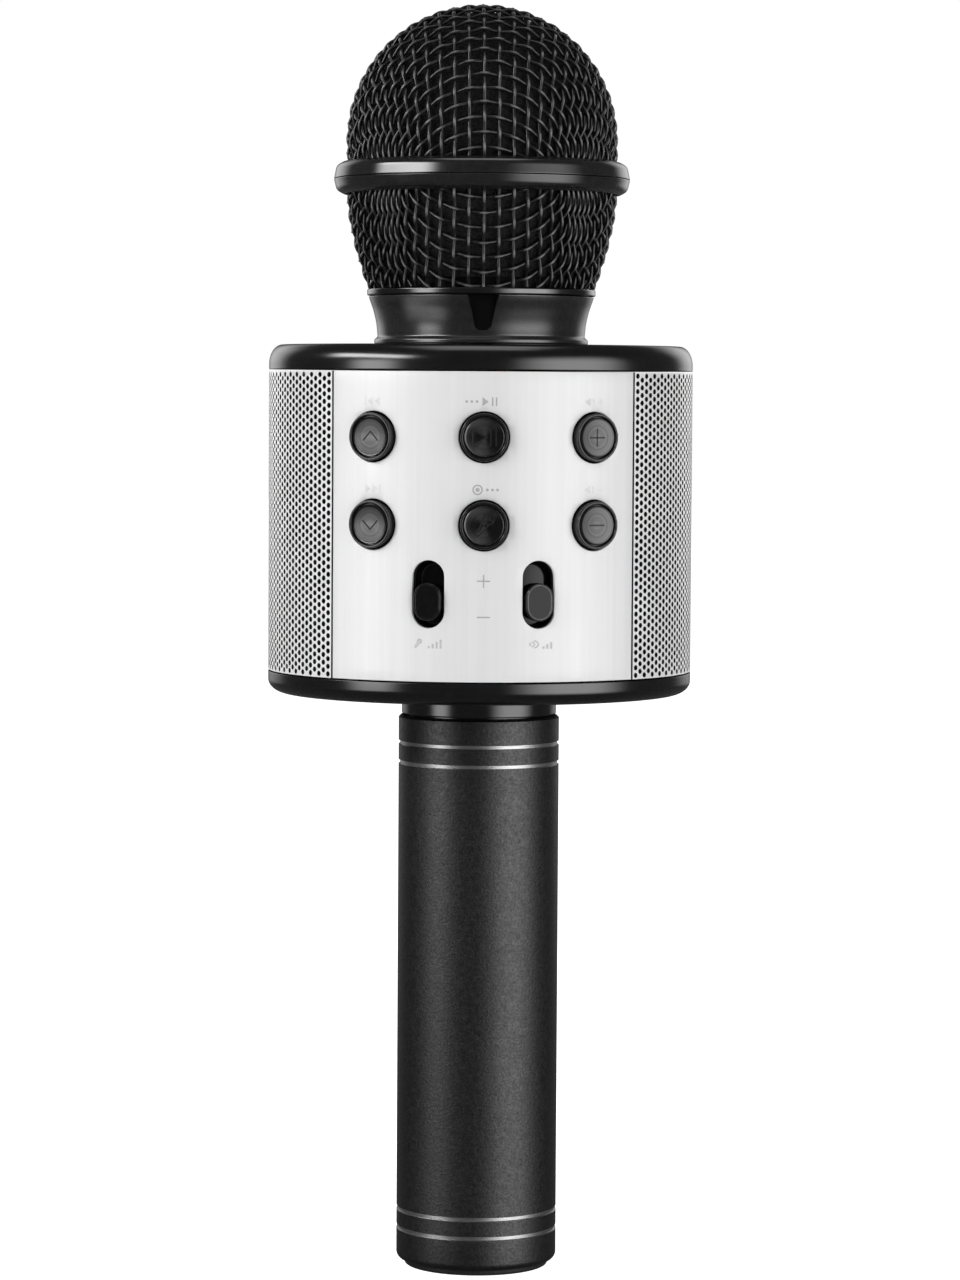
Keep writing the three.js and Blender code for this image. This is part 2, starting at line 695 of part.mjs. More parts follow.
// ---------------------------------------------------------------- loudspeaker

function addSpeaker() {
  const { halfWidth, front, back, low, high, hole } = BAFFLE;
  const plate = block([-halfWidth, halfWidth], [front, back], [low, high]);
  const opening = speakerTurned([
    [0, front - 1],
    [hole, front - 1],
    [hole, back + 1],
    [0, back + 1],
  ]);
  add("speaker_baffle", FINISH.frame, cut(plate, opening));

  const chassis = [
    [17.0, 27.6],
    [20.0, 27.6],
    [20.0, 26.0],
    [18.0, 26.0],
    [13.0, 17.2],
    [9.0, 17.2],
    [9.0, 18.2],
    [12.4, 18.2],
    [17.0, 26.4],
  ];
  add("speaker_frame", FINISH.steel, speakerTurned(chassis));

  // The annular slot round the pole piece is the voice coil's gap.
  const magnet = [
    [0, 8],
    [12.5, 8],
    [12.5, 16.9],
    [5.8, 16.9],
    [5.8, 11.5],
    [4.0, 11.5],
    [4.0, 17.4],
    [0, 17.4],
  ];
  add("speaker_magnet", FINISH.magnet, speakerTurned(magnet));

  const surround = [
    [13.7, 26.9],
    [16.7, 26.9],
    [16.7, 27.5],
    [15.2, 28.4],
    [13.7, 27.5],
  ];
  add("speaker_surround", FINISH.rubber, speakerTurned(surround));

  // Dust cap, paper cone and, behind them, the coil former that reaches into the magnet's gap.
  const cone = [
    [0, 23.4],
    [3.5, 22.9],
    [5.6, 21.7],
    [13.3, 27.3],
    [13.3, 26.6],
    [6.1, 21.2],
    [5.2, 20.4],
    [5.2, 13.6],
    [4.6, 13.6],
    [4.6, 21.2],
    [3.2, 22.2],
    [0, 22.7],
  ];
  add("speaker_cone", FINISH.paper, speakerTurned(cone));
}

// ---------------------------------------------------------------- neck collar and capsule

function addCollar() {
  const { bottom, shoulder, top, bore, spigot, ridge } = COLLAR;
  const flare = [
    [20.7, bottom],
    [20.7, bottom + 0.8],
    [20.0, bottom + 1.2],
    [20.3, bottom + 4],
    [20.9, bottom + 6.5],
    [21.8, shoulder],
  ];
  const ridges = [189.6, 191.2, 192.8].flatMap((z) => [
    [spigot, z - 0.4],
    [ridge, z],
    [spigot, z + 0.4],
  ]);
  const profile = [[bore, bottom], ...flare, [spigot, shoulder], ...ridges, [spigot, top], [bore, top]];

  // The notch in the front of the collar: a U that is open at the shoulder.
  const floor = shoulder - NOTCH.height;
  const corner = 1.2;
  const outline = new THREE.Shape();
  outline.moveTo(-NOTCH.top / 2, shoulder + 1);
  outline.lineTo(-NOTCH.bottom / 2, floor + corner);
  outline.quadraticCurveTo(-NOTCH.bottom / 2, floor, -NOTCH.bottom / 2 + corner, floor);
  outline.lineTo(NOTCH.bottom / 2 - corner, floor);
  outline.quadraticCurveTo(NOTCH.bottom / 2, floor, NOTCH.bottom / 2, floor + corner);
  outline.lineTo(NOTCH.top / 2, shoulder + 1);
  outline.closePath();
  const options = { depth: 6, bevelEnabled: false, curveSegments: 3 };
  const notch = new THREE.ExtrudeGeometry(outline, options);
  notch.rotateX(Math.PI / 2).translate(0, -(21.2 - NOTCH.depth), 0);
  add("neck_collar", FINISH.glossBlack, cut(turned(profile, SIDES.head), notch));
}

function addCapsule() {
  const seat = COLLAR.top + GAP;
  const plate = [
    [3, seat],
    [18.4, seat],
    [18.4, seat + 1.5],
    [3, seat + 1.5],
  ];
  add("capsule_plate", FINISH.frame, turned(plate, SIDES.inner));

  const base = seat + 1.5 + GAP;
  const cup = [
    [0, base],
    [15, base],
    [15, base + 11.4],
    [13.8, base + 11.4],
    [13.8, base + 1.4],
    [0, base + 1.4],
  ];
  add("capsule_cup", FINISH.rubber, turned(cup, SIDES.inner));

  const capsule = [
    [0, base + 1.7],
    [13.4, base + 1.7],
    [13.4, base + 12.9],
    [12.6, base + 14.0],
    [0, base + 14.6],
  ];
  add("mic_capsule", FINISH.steel, turned(capsule, SIDES.inner));
}

// ---------------------------------------------------------------- ball grille

function basketRadius(z) {
  const rise = (z - BASKET.low) / (BASKET.high - BASKET.low);
  return BASKET.highRadius - (BASKET.highRadius - BASKET.lowRadius) * (1 - rise) ** BASKET_SWELL;
}

// Points up the basket's side, set in from its outer surface.
function basketSide(from, to, steps, inset) {
  const points = [];
  for (let i = 0; i <= steps; i += 1) {
    const z = from + ((to - from) * i) / steps;
    points.push([basketRadius(z) - inset, z]);
  }
  return points;
}

// Points over the dome from its equator to its pole.
const domeSide = (radius, steps) =>
  edgeArc(0, DOME.centre, radius, radius, 0, 90, steps).map(([r, z], i) => [i === steps ? 0 : r, z]);

function addGrilleHead() {
  const ring = [
    [RING.bore, RING.bottom],
    [RING.lip - 0.3, RING.bottom],
    [RING.lip, RING.bottom + 0.35],
    [RING.lip, RING.lipTop - 0.3],
    [RING.lip - 0.3, RING.lipTop],
    [RING.skirt, RING.lipTop],
    [RING.skirt, RING.top],
    [RING.bore, RING.top],
  ];
  add("grille_thread_ring", FINISH.chrome, turned(ring, SIDES.head));

  const sideTop = BASKET.high - 0.2;
  const basket = [
    ...basketSide(BASKET.bottom, sideTop, 5, 0),
    [SKIRT, BASKET.high],
    [SKIRT, BASKET.top],
    [SKIRT - MESH_WALL + GAP, BASKET.top],
    ...basketSide(BASKET.bottom, sideTop, 5, MESH_WALL).reverse(),
  ];
  add("grille_basket", FINISH.wire, turned(basket, SIDES.head));

  const halfBand = (edge, ridgeZ, cornerZ) => [
    [BAND.bore, ridgeZ],
    [BAND.ridge, ridgeZ],
    [BAND.corner, cornerZ],
    [BAND.edge, edge],
    [BAND.bore, edge],
  ];
  const lower = halfBand(BAND.low, BAND.seam - GAP / 2, BAND.low + BAND_BEVEL);
  const upper = halfBand(BAND.high, BAND.seam + GAP / 2, BAND.high - BAND_BEVEL);
  add("grille_band_lower", FINISH.glossBlack, turned(lower, SIDES.head));
  add("grille_band_upper", FINISH.glossBlack, turned(upper, SIDES.head));

  // A shell's profile meets the axis twice, so each is turned as its outer form less its inner one.
  const outerForm = [
    [0, DOME.bottom],
    [SKIRT, DOME.bottom],
    [SKIRT, BAND.high - 0.1],
    [DOME.radius - 0.05, BAND.high + 0.1],
    ...domeSide(DOME.radius, DOME_STEPS),
  ];
  const innerForm = [
    [0, DOME.bottom - 1],
    [SKIRT - MESH_WALL + GAP, DOME.bottom - 1],
    ...domeSide(DOME.radius - MESH_WALL, DOME_STEPS),
  ];
  add(
    "grille_dome",
    FINISH.wire,
    cut(turned(outerForm, SIDES.head), turned(innerForm, SIDES.head)),
  );

  const foamLimit = 203;
  const foamOuter = [
    [0, FOAM.bottom],
    ...basketSide(FOAM.bottom, foamLimit, 3, MESH_WALL + GAP),
    ...domeSide(FOAM.radius, 5),
  ];
  const foamInner = [
    [0, FOAM.bottom - 1],
    ...basketSide(FOAM.bottom - 1, foamLimit, 3, MESH_WALL + GAP + FOAM.wall),
    ...domeSide(FOAM.radius - FOAM.wall, 5),
  ];
  add("foam_windscreen", FINISH.foam, cut(turned(foamOuter, SIDES.inner), turned(foamInner, SIDES.inner)));
}

// ---------------------------------------------------------------- the microphone

addHandle();
addBattery();
addDrumCovers();
addDrumWall();
addDrumSkeleton();
addCoverScrews();
addButtons();
addSliders();
addBoards();
addSockets();
addSpeaker();
addCollar();
addCapsule();
addGrilleHead();

export default microphone;
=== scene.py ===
"""Karaoke microphone: the look of every piece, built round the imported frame.

Sizes are in millimetres until a mesh is made, and the frame is the CAD's: the microphone stands on its end
cap at the origin, its control panel faces -Y and +X is on its right. An azimuth is in degrees round +Z, 0 at
the panel's middle and 90 at +X.
"""

import math

import bmesh
import bpy
import numpy as np
from mathutils import Matrix, Vector, noise
from mathutils.geometry import delaunay_2d_cdt


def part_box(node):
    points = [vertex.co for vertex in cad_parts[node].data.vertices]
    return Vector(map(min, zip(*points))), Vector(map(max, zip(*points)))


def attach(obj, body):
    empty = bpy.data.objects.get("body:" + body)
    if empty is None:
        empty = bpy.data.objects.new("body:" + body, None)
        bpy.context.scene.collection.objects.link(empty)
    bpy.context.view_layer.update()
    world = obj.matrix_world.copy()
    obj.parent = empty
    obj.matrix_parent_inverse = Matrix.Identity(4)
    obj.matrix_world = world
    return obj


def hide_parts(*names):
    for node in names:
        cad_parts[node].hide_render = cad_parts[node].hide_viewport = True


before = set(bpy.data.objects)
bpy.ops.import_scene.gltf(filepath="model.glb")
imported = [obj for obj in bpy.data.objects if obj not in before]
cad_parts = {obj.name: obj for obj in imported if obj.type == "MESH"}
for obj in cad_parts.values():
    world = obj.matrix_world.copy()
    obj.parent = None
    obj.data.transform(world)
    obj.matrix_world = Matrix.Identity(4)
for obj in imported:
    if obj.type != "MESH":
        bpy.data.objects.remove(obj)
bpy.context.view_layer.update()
MM = 0.001


def span(node):
    """Lowest and highest corner of a CAD node, in millimetres."""
    low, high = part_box(node)
    return low / MM, high / MM


# ---------------------------------------------------------------- sizes

TUBE = span("handle_tube")
END_CAP = span("handle_end_cap")
BOTTOM_COVER = span("drum_bottom_cover")
TOP_COVER = span("drum_top_cover")
PANEL = span("control_panel")
COLLAR = span("neck_collar")
THREAD_RING = span("grille_thread_ring")
BAND = (span("grille_band_lower")[0], span("grille_band_upper")[1])
DOME = span("grille_dome")

DRUM_R = BOTTOM_COVER[1].x
HANDLE_R = TUBE[1].x
PANEL_ANGLE = math.degrees(math.asin(PANEL[1].x / DRUM_R))
GRILLE_ANGLE = 360 - 2 * (PANEL_ANGLE + 0.5)  # the perforated sheet's share of the turn
PANEL_INNER = DRUM_R - 0.7
GRILLE_INNER = DRUM_R - 0.5

COVER_FLOOR = (112.0, 114.2)  # lower and upper face of the bottom cover's floor
COVER_RIM = 38.4  # inner radius of both covers' rims

GROOVES = [7.5, 11.2, 98.5, 102.3]  # heights of the handle's turned grooves
GROOVE_HALF = 0.425
GROOVE_DEPTH = 0.3

BUTTON_HOLE = 4.8
BUTTON_R = 4.45
BUTTON_FACE = 42.2  # distance of a button's rim from the drum's axis
STEM_TIP = -29.6  # where the stems of the buttons end, along Y
DISC_R = 3.72
DISC_FACE = BUTTON_FACE - 0.42
BUTTON_NAMES = ["previous", "play_pause", "volume_up", "next", "record", "volume_down"]
SLIDER_NAMES = ["mic_volume_slider", "echo_slider"]
SLOT_SIZE = (6.1, 12.6)
SLOT_Z = 132.8
SLOT_ANGLE = 14.5
KNOB_SIZE = (5.2, 7.1)
KNOB_REACH = (39.0, 41.9)
KNOB_REST = 131.4
SHIELD_HEIGHTS = (122.0, 140.8)
SHIELD_RADII = (37.8, 37.0)  # outer and inner
SHIELD_ANGLE = 5.5  # half of a shield's turn
LEVER_TIP = -29.2  # where the levers of the sliders end, along Y

HOLE_R = 0.5  # of the perforated sheet
HOLE_SIDES = 12
HOLE_ROWS = 40
HOLE_PITCH = (PANEL[1].z - PANEL[0].z) / HOLE_ROWS
HALF_COLUMNS = 77  # columns of holes in half of the sheet
CLOTH_RADII = (40.2, 39.95)  # outer and inner
CLOTH_START = 44.5  # azimuth of the cloth's edge

BAND_SEAM = 211.2
DOME_R = DOME[1].x
DOME_Z = DOME[1].z - DOME_R
BASKET_LOW_R = 22.0
BASKET_LOW_Z = 190.0  # also the top of the thread ring's lip
BASKET_HIGH_R = 26.25
BASKET_HIGH_Z = 208.3

WIRE_R = 0.325
WIRE_SIDES = 8
WIRE_LIFT = 0.32  # how far a wire rises and falls at each crossing
WIRE_PITCH = 2.85
INK = 0.02  # half the thickness of a printed mark
# The wire's colour is painted lighter by this height: a painted highlight on the tops of the humps.
HUMP_HEIGHT = "hump_height"  # how far out each point of a wire's skin stands: 1 on top of a hump

SOCKET_RING = 26.0
SCREW_RING = 33.8
SCREW_ANGLES = [58, 135, 225, 302]


def middle(node):
    low, high = span(node)
    return (low + high) / 2


def button_place(name):
    """Azimuth and height of a button, from its tact switch, which stands square behind it."""
    switch = middle(f"tact_switch_{name}")
    side = math.copysign(1, switch.x) if abs(switch.x) > 1 else 0
    return side * 30.3, switch.z


# ---------------------------------------------------------------- meshes

def around(radius, azimuth):
    angle = math.radians(azimuth)
    return radius * math.sin(angle), -radius * math.cos(angle)


def radial(azimuth, z=0.0):
    """The frame that looks out along one of the drum's radii: X to the right, Y up, Z outwards."""
    angle = math.radians(azimuth)
    out = Vector((math.sin(angle), -math.cos(angle), 0))
    right = Vector((math.cos(angle), math.sin(angle), 0))
    matrix = Matrix((right, (0, 0, 1), out)).transposed().to_4x4()
    matrix.translation = Vector((0, 0, z * MM))
    return matrix


def rounded(corners, steps=4):
    """An outline whose corners (x, y, fillet) become short curves. A point just outside each fillet keeps
    the shading of the long stretches flat."""
    outline = []
    for i, corner in enumerate(corners):
        here = np.array(corner[:2], float)
        fillet = corner[2] if len(corner) > 2 else 0
        if not fillet:
            outline.append(here)
            continue
        before = np.array(corners[i - 1][:2], float) - here
        after = np.array(corners[(i + 1) % len(corners)][:2], float) - here
        legs = []
        for leg in (before, after):
            length = np.linalg.norm(leg)
            legs.append(leg / length * min(fillet, 0.38 * length))
        outline.append(here + 1.25 * legs[0])
        for k in range(steps + 1):
            t = k / steps
            outline.append(here + (1 - t) ** 2 * legs[0] + t * t * legs[1])
        outline.append(here + 1.25 * legs[1])
    return outline


def arc(centre, radii, start, end, steps):
    """Points of an elliptical arc, angles in degrees from the first axis."""
    angles = np.radians(np.linspace(start, end, steps + 1))
    return [(centre[0] + radii[0] * math.cos(a), centre[1] + radii[1] * math.sin(a)) for a in angles]


def lathe(outline, sides=128):
    """Points and faces of a (radius, height) outline turned about Z. It starts and ends on the axis, or
    closes on itself."""
    turn = np.linspace(0, 2 * np.pi, sides, endpoint=False) - np.pi / 2
    points, rings = [], []
    for radius, z in outline:
        start = len(points)
        if radius < 1e-6:
            points.append((0.0, 0.0, z))
            rings.append([start] * sides)
        else:
            points.extend((radius * math.cos(a), radius * math.sin(a), z) for a in turn)
            rings.append(list(range(start, start + sides)))
    if outline[0][0] > 1e-6:
        rings.append(rings[0])
    faces = []
    for low, high in zip(rings, rings[1:]):
        for k in range(sides):
            after = (k + 1) % sides
            face = list(dict.fromkeys((low[k], low[after], high[after], high[k])))
            if len(face) > 2:
                faces.append(face)
    return np.array(points), faces


def loft(sections):
    """Points and faces of a solid through flat closed sections of equal counts, each an n x 3 array."""
    count = len(sections[0])
    faces = [list(range(count))[::-1]]
    for layer in range(len(sections) - 1):
        low, high = layer * count, (layer + 1) * count
        for k in range(count):
            after = (k + 1) % count
            faces.append([low + k, low + after, high + after, high + k])
    last = (len(sections) - 1) * count
    faces.append([last + k for k in range(count)])
    return np.vstack(sections), faces


def gather(parts):
    """Several (points, faces) as one."""
    points, faces, start = [], [], 0
    for some_points, some_faces in parts:
        points.append(np.asarray(some_points, float))
        faces.extend([[start + i for i in face] for face in some_faces])
        start += len(some_points)
    return np.vstack(points), faces


def moved(part, matrix):
    """(points, faces) in millimetres, placed by a matrix whose translation is in metres."""
    points, faces = part
    turn = np.array(matrix.to_3x3())
    shift = np.array(matrix.translation) / MM
    return points @ turn.T + shift, faces


def stadium(width, height, inset=0.0, steps=10):
    """An upright stadium outline, anticlockwise."""
    radius = width / 2 - inset
    straight = height / 2 - width / 2
    top = arc((0, straight), (radius, radius), 0, 180, steps)
    bottom = arc((0, -straight), (radius, radius), 180, 360, steps)
    return np.array(top + bottom)


def rectangle(width, height, corner, inset=0.0, steps=4):
    """A rectangle with round corners, anticlockwise."""
    x, y = width / 2 - corner, height / 2 - corner
    radius = corner - inset
    points = []
    for start, cx, cy in ((0, x, y), (90, -x, y), (180, -x, -y), (270, x, -y)):
        points += arc((cx, cy), (radius, radius), start, start + 90, steps)
    return np.array(points)


def circle(radius, sides=48):
    turn = np.linspace(0, 2 * np.pi, sides, endpoint=False)
    return np.column_stack((radius * np.cos(turn), radius * np.sin(turn)))


def at_height(outline, z):
    return np.column_stack((outline, np.full(len(outline), z)))


def make_mesh(name, part, finishes, crease=35, pick=None):
    """A smooth-shaded mesh, faces out, sharp along edges steeper than the crease. pick gives the finish's
    number from a face's centre in millimetres."""
    points, faces = part
    mesh = bpy.data.meshes.new(name)
    mesh.from_pydata((np.asarray(points) * MM).tolist(), [], faces)
    shell = bmesh.new()
    shell.from_mesh(mesh)
    bmesh.ops.recalc_face_normals(shell, faces=shell.faces)
    shell.to_mesh(mesh)
    shell.free()
    for finish in finishes:
        mesh.materials.append(finish)
    if pick:
        for face in mesh.polygons:
            face.material_index = pick(face.center / MM)
    mesh.shade_smooth()
    mesh.set_sharp_from_angle(angle=math.radians(crease))
    return mesh


def piece(name, part, finishes, body, replaces=(), crease=35, pick=None, matrix=None):
    """A new piece of the object that rides on its body and stands for its CAD nodes."""
    finishes = finishes if isinstance(finishes, list) else [finishes]
    made = bpy.data.objects.new(name, make_mesh(name, part, finishes, crease, pick))
    bpy.context.scene.collection.objects.link(made)
    if matrix:
        made.matrix_world = matrix
    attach(made, body)
    if replaces:
        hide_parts(*replaces)
    return made


def carved(name, base, tools):
    """(points, faces) of a base solid less several others."""
    block = bpy.data.objects.new(name, make_mesh(name, base, []))
    cutter = bpy.data.objects.new(name + "_tools", make_mesh(name + "_tools", gather(tools), []))
    for item in (block, cutter):
        bpy.context.scene.collection.objects.link(item)
    cut = block.modifiers.new("cut", "BOOLEAN")
    cut.operation = "DIFFERENCE"
    cut.solver = "EXACT"
    cut.object = cutter
    result = block.evaluated_get(bpy.context.evaluated_depsgraph_get()).to_mesh()
    points = np.array([vertex.co for vertex in result.vertices]) / MM
    faces = [list(face.vertices) for face in result.polygons]
    for item in (block, cutter):
        bpy.data.objects.remove(item)
    return points, faces


def border(triangles):
    """The directed edges of a flat triangulation that only one triangle has."""
    edges = np.vstack([triangles[:, [0, 1]], triangles[:, [1, 2]], triangles[:, [2, 0]]])
    count = edges.max() + 1
    forward = edges[:, 0].astype(np.int64) * count + edges[:, 1]
    backward = edges[:, 1].astype(np.int64) * count + edges[:, 0]
    return edges[~np.isin(forward, backward)]


def curved_plate(flat, triangles, outer, inner, edge=0.0):
    """A closed plate on the drum's wall from a flat anticlockwise triangulation, whose x is measured along
    the outer surface and y is the height. Its front edges are broken by a small chamfer."""
    flat = np.asarray(flat, float)
    triangles = np.asarray(triangles)
    rim = border(triangles)
    onward = np.zeros((len(flat), 2))
    for end in (0, 1):
        np.add.at(onward, rim[:, end], flat[rim[:, 1]] - flat[rim[:, 0]])
    inward = np.column_stack((-onward[:, 1], onward[:, 0]))
    length = np.maximum(np.linalg.norm(inward, axis=1, keepdims=True), 1e-9)
    inward = inward / length * (np.linalg.norm(onward, axis=1, keepdims=True) > 0)

    def wrap(spread, radius):
        angle = spread[:, 0] / outer
        return np.column_stack((radius * np.sin(angle), -radius * np.cos(angle), spread[:, 1]))

    rim_points = np.unique(rim)
    layers = [wrap(flat + inward * edge, outer)]
    if edge:
        layers.append(wrap(flat[rim_points] + 0.3 * edge * inward[rim_points], outer - 0.3 * edge))
        layers.append(wrap(flat[rim_points], outer - edge))
    layers.append(wrap(flat, inner))
    starts = np.cumsum([0] + [len(layer) for layer in layers])

    place = np.zeros(len(flat), int)
    place[rim_points] = np.arange(len(rim_points))
    levels = []
    for number in range(len(layers)):
        whole = number in (0, len(layers) - 1)
        levels.append(starts[number] + (rim if whole else place[rim]))
    faces = triangles.tolist()
    for front, back in zip(levels, levels[1:]):
        faces += np.column_stack((front[:, 1], front[:, 0], back[:, 0], back[:, 1])).tolist()
    faces += (triangles[:, ::-1] + starts[-2]).tolist()
    return np.vstack(layers), faces


def flat_grid(across, up):
    """The points and triangles of a flat grid, for curved_plate."""
    flat = np.array([(x, z) for z in up for x in across])
    count = len(across)
    triangles = []
    for row in range(len(up) - 1):
        for column in range(count - 1):
            a = row * count + column
            triangles += [(a, a + 1, a + count + 1), (a, a + count + 1, a + count)]
    return flat, np.array(triangles)


def triangulated(outline, holes, grid):
    """A flat triangulation of an outline with holes, each hole given as (loop, is_inside), with loose
    points spread over the rest so that it can be bent."""
    clearance = 0.3  # of the loose points from the holes
    points = [tuple(p) for p in outline]
    edges = [(i, (i + 1) % len(points)) for i in range(len(points))]
    for loop, _ in holes:
        start = len(points)
        points += [tuple(p) for p in loop]
        edges += [(start + i, start + (i + 1) % len(loop)) for i in range(len(loop))]
    for x, y in grid:
        if not any(inside(x, y, clearance) for _, inside in holes):
            points.append((x, y))
    made = delaunay_2d_cdt([Vector(p) for p in points], edges, [], 0, 1e-6)
    flat = np.array([tuple(p) for p in made[0]])
    triangles = []
    for corners in made[2]:
        x, y = flat[list(corners)].mean(axis=0)
        if not any(inside(x, y, 0) for _, inside in holes):
            a, b, c = flat[list(corners)]
            turn = (b[0] - a[0]) * (c[1] - a[1]) - (b[1] - a[1]) * (c[0] - a[0])
            triangles.append(tuple(corners) if turn > 0 else tuple(corners)[::-1])
    return flat, np.array(triangles)


def wire(path, outward, radius):
    """Points and faces of a round wire along a path, closed at both ends."""
    along = np.gradient(path, axis=0)
    along /= np.linalg.norm(along, axis=1, keepdims=True)
    side = np.cross(along, outward)
    side /= np.linalg.norm(side, axis=1, keepdims=True)
    up = np.cross(side, along)
    turn = np.linspace(0, 2 * np.pi, WIRE_SIDES, endpoint=False)
    across = np.cos(turn)[None, :, None] * up[:, None] + np.sin(turn)[None, :, None] * side[:, None]
    return loft(list(path[:, None] + radius * across))


def ribbon(line, width, closed=False):
    """A flat stroke along a line as its left and right edges."""
    line = np.array(line, float)
    before = np.roll(line, 1, axis=0)
    after = np.roll(line, -1, axis=0)
    if not closed:
        before[0] = 2 * line[0] - line[1]
        after[-1] = 2 * line[-1] - line[-2]
    normals = []
    for a, b in ((before, line), (line, after)):
        step = (b - a) / np.linalg.norm(b - a, axis=1, keepdims=True)
        normals.append(np.column_stack((-step[:, 1], step[:, 0])))
    mitre = normals[0] + normals[1]
    mitre /= np.maximum((mitre * normals[0]).sum(axis=1, keepdims=True), 0.4)
    return line + mitre * width / 2, line - mitre * width / 2


def print_stroke(line, width, lift, closed=False):
    """A thin raised stroke. lift(x, y, height) carries its flat points to where it is printed."""
    fine = [np.array(line[0], float)]
    ends = list(line[1:]) + ([line[0]] if closed else [])
    for end in ends:
        start, end = fine[-1].copy(), np.array(end, float)
        count = max(1, int(np.linalg.norm(end - start) / 0.6))
        fine += [start + (end - start) * k / count for k in range(1, count + 1)]
    if closed:
        fine.pop()
    left, right = ribbon(fine, width, closed)
    sections = []
    for a, b in zip(left, right):
        ring = [(a, INK), (b, INK), (b, -INK), (a, -INK)]
        sections.append(np.array([lift(p[0], p[1], height) for p, height in ring]))
    points, faces = loft(sections)
    if closed:
        last = (len(sections) - 1) * 4
        faces = faces[1:-1]
        for k in range(4):
            after = (k + 1) % 4
            faces.append([last + k, last + after, after, k])
    return points, faces


def print_area(outline, lift):
    """A thin raised shape with a convex outline."""
    return loft([np.array([lift(x, y, height) for x, y in outline]) for height in (-INK, INK)])


# ---------------------------------------------------------------- finishes

def add_node(tree, kind, **settings):
    """A shader node, with its properties and its sockets set by name."""
    made = tree.nodes.new(kind)
    for key, value in settings.items():
        if hasattr(made, key):
            setattr(made, key, value)
        else:
            made.inputs[key.replace("_", " ")].default_value = value
    return made


class Finish:
    """A material whose uniform numbers sit on the shader's own sockets."""

    def __init__(self, name, colour, roughness, metallic=0.0, **sockets):
        self.material = bpy.data.materials.new(name)
        self.material.use_nodes = True
        self.tree = self.material.node_tree
        self.surface = self.tree.nodes["Principled BSDF"]
        self.shade = (colour,) * 3 if isinstance(colour, (int, float)) else colour
        self.set("Base Color", (*self.shade, 1.0))
        self.set("Roughness", roughness)
        self.set("Metallic", metallic)
        for socket, value in sockets.items():
            self.set(socket.replace("_", " "), value)
        self.relief = None

    def set(self, socket, value):
        self.surface.inputs[socket].default_value = value

    def node(self, kind, **settings):
        return add_node(self.tree, kind, **settings)

    def link(self, source, target):
        self.tree.links.new(source, target)
        return self

    def place(self, stretch=(1, 1, 1)):
        """Object coordinates, in metres, stretched."""
        where = self.node("ShaderNodeTexCoord")
        mapping = self.node("ShaderNodeMapping", Scale=stretch)
        self.link(where.outputs["Object"], mapping.inputs["Vector"])
        return mapping.outputs["Vector"]

    def noise(self, scale, stretch=(1, 1, 1), detail=2.0):
        made = self.node("ShaderNodeTexNoise", Scale=scale, Detail=detail)
        self.link(self.place(stretch), made.inputs["Vector"])
        return made.outputs[0]

    def cells(self, scale):
        made = self.node("ShaderNodeTexVoronoi", Scale=scale)
        self.link(self.place(), made.inputs["Vector"])
        return made.outputs["Distance"]

    def waves(self, scale, direction):
        made = self.node("ShaderNodeTexWave", bands_direction=direction, Scale=scale)
        self.link(self.place(), made.inputs["Vector"])
        return made.outputs[1]

    def between(self, source, low, high, inputs=(0.3, 0.7)):
        """The source's value spread from low to high."""
        ranged = self.node("ShaderNodeMapRange")
        for socket, value in zip(ranged.inputs[1:5], (*inputs, low, high)):
            socket.default_value = value
        self.link(source, ranged.inputs[0])
        return ranged.outputs[0]

    def colour(self, source, dark, light, inputs=(0.3, 0.7)):
        """Base colour from dark to light by the source, each a multiple of the finish's own shade."""
        ramp = self.node("ShaderNodeValToRGB")
        for stop, position, share in zip(ramp.color_ramp.elements, inputs, (dark, light)):
            stop.position = position
            stop.color = (*(min(1.0, share * c) for c in self.shade), 1.0)
        self.link(source, ramp.inputs[0])
        self.link(ramp.outputs[0], self.surface.inputs["Base Color"])
        return self

    def vary_roughness(self, source, low, high):
        self.link(self.between(source, low, high), self.surface.inputs["Roughness"])
        return self

    def bump(self, source, height, strength=1.0):
        """Relief of a height in millimetres, on top of any that is there."""
        made = self.node("ShaderNodeBump", Strength=strength, Distance=height * MM)
        self.link(source, made.inputs["Height"])
        if self.relief:
            self.link(self.relief, made.inputs["Normal"])
        self.relief = made.outputs["Normal"]
        self.link(self.relief, self.surface.inputs["Normal"])
        return self


def anodised():
    """Bead-blasted aluminium, dyed black. Its colour follows the grain of its relief, lighter on the raised
    points and darker in the pits: a random tone that is also a painted glint and a painted shade.
    """
    finish = Finish("anodised", 0.066, 0.44, 1.0)
    grain = finish.noise(2400, detail=3.0)
    finish.bump(grain, 0.05, 0.7)
    finish.bump(finish.cells(1700), 0.02, 0.5)
    # Painted glints and shade: the relief's grain also lightens the colour on its raised points and darkens
    # it in its pits.
    finish.colour(grain, 0.72, 1.3)
    return finish.vary_roughness(finish.noise(900, detail=4.0), 0.38, 0.5).material


def bare_groove():
    """The cut metal in the handle's grooves, with its turning marks."""
    finish = Finish("bare_groove", 0.45, 0.34, 1.0)
    finish.bump(finish.waves(2600, "Z"), 0.01, 0.4)
    return finish.colour(finish.noise(400, (1, 1, 20)), 0.8, 1.1).material


def grained(name, shade, roughness, tone, metallic=0.0, relief=(), gloss=(), **sockets):
    """A finish of noises. tone is (scale, detail, darkest, lightest), relief is (scale, detail, height in
    millimetres, strength) and may end in a stretch, gloss is (scale, detail, smoothest, roughest)."""
    finish = Finish(name, shade, roughness, metallic, **sockets)
    if relief:
        scale, detail, height, strength, *stretch = relief
        finish.bump(finish.noise(scale, *stretch, detail=detail), height, strength)
    if gloss:
        scale, detail, smoothest, roughest = gloss
        finish.vary_roughness(finish.noise(scale, detail=detail), smoothest, roughest)
    scale, detail, darkest, lightest = tone
    return finish.colour(finish.noise(scale, detail=detail), darkest, lightest).material


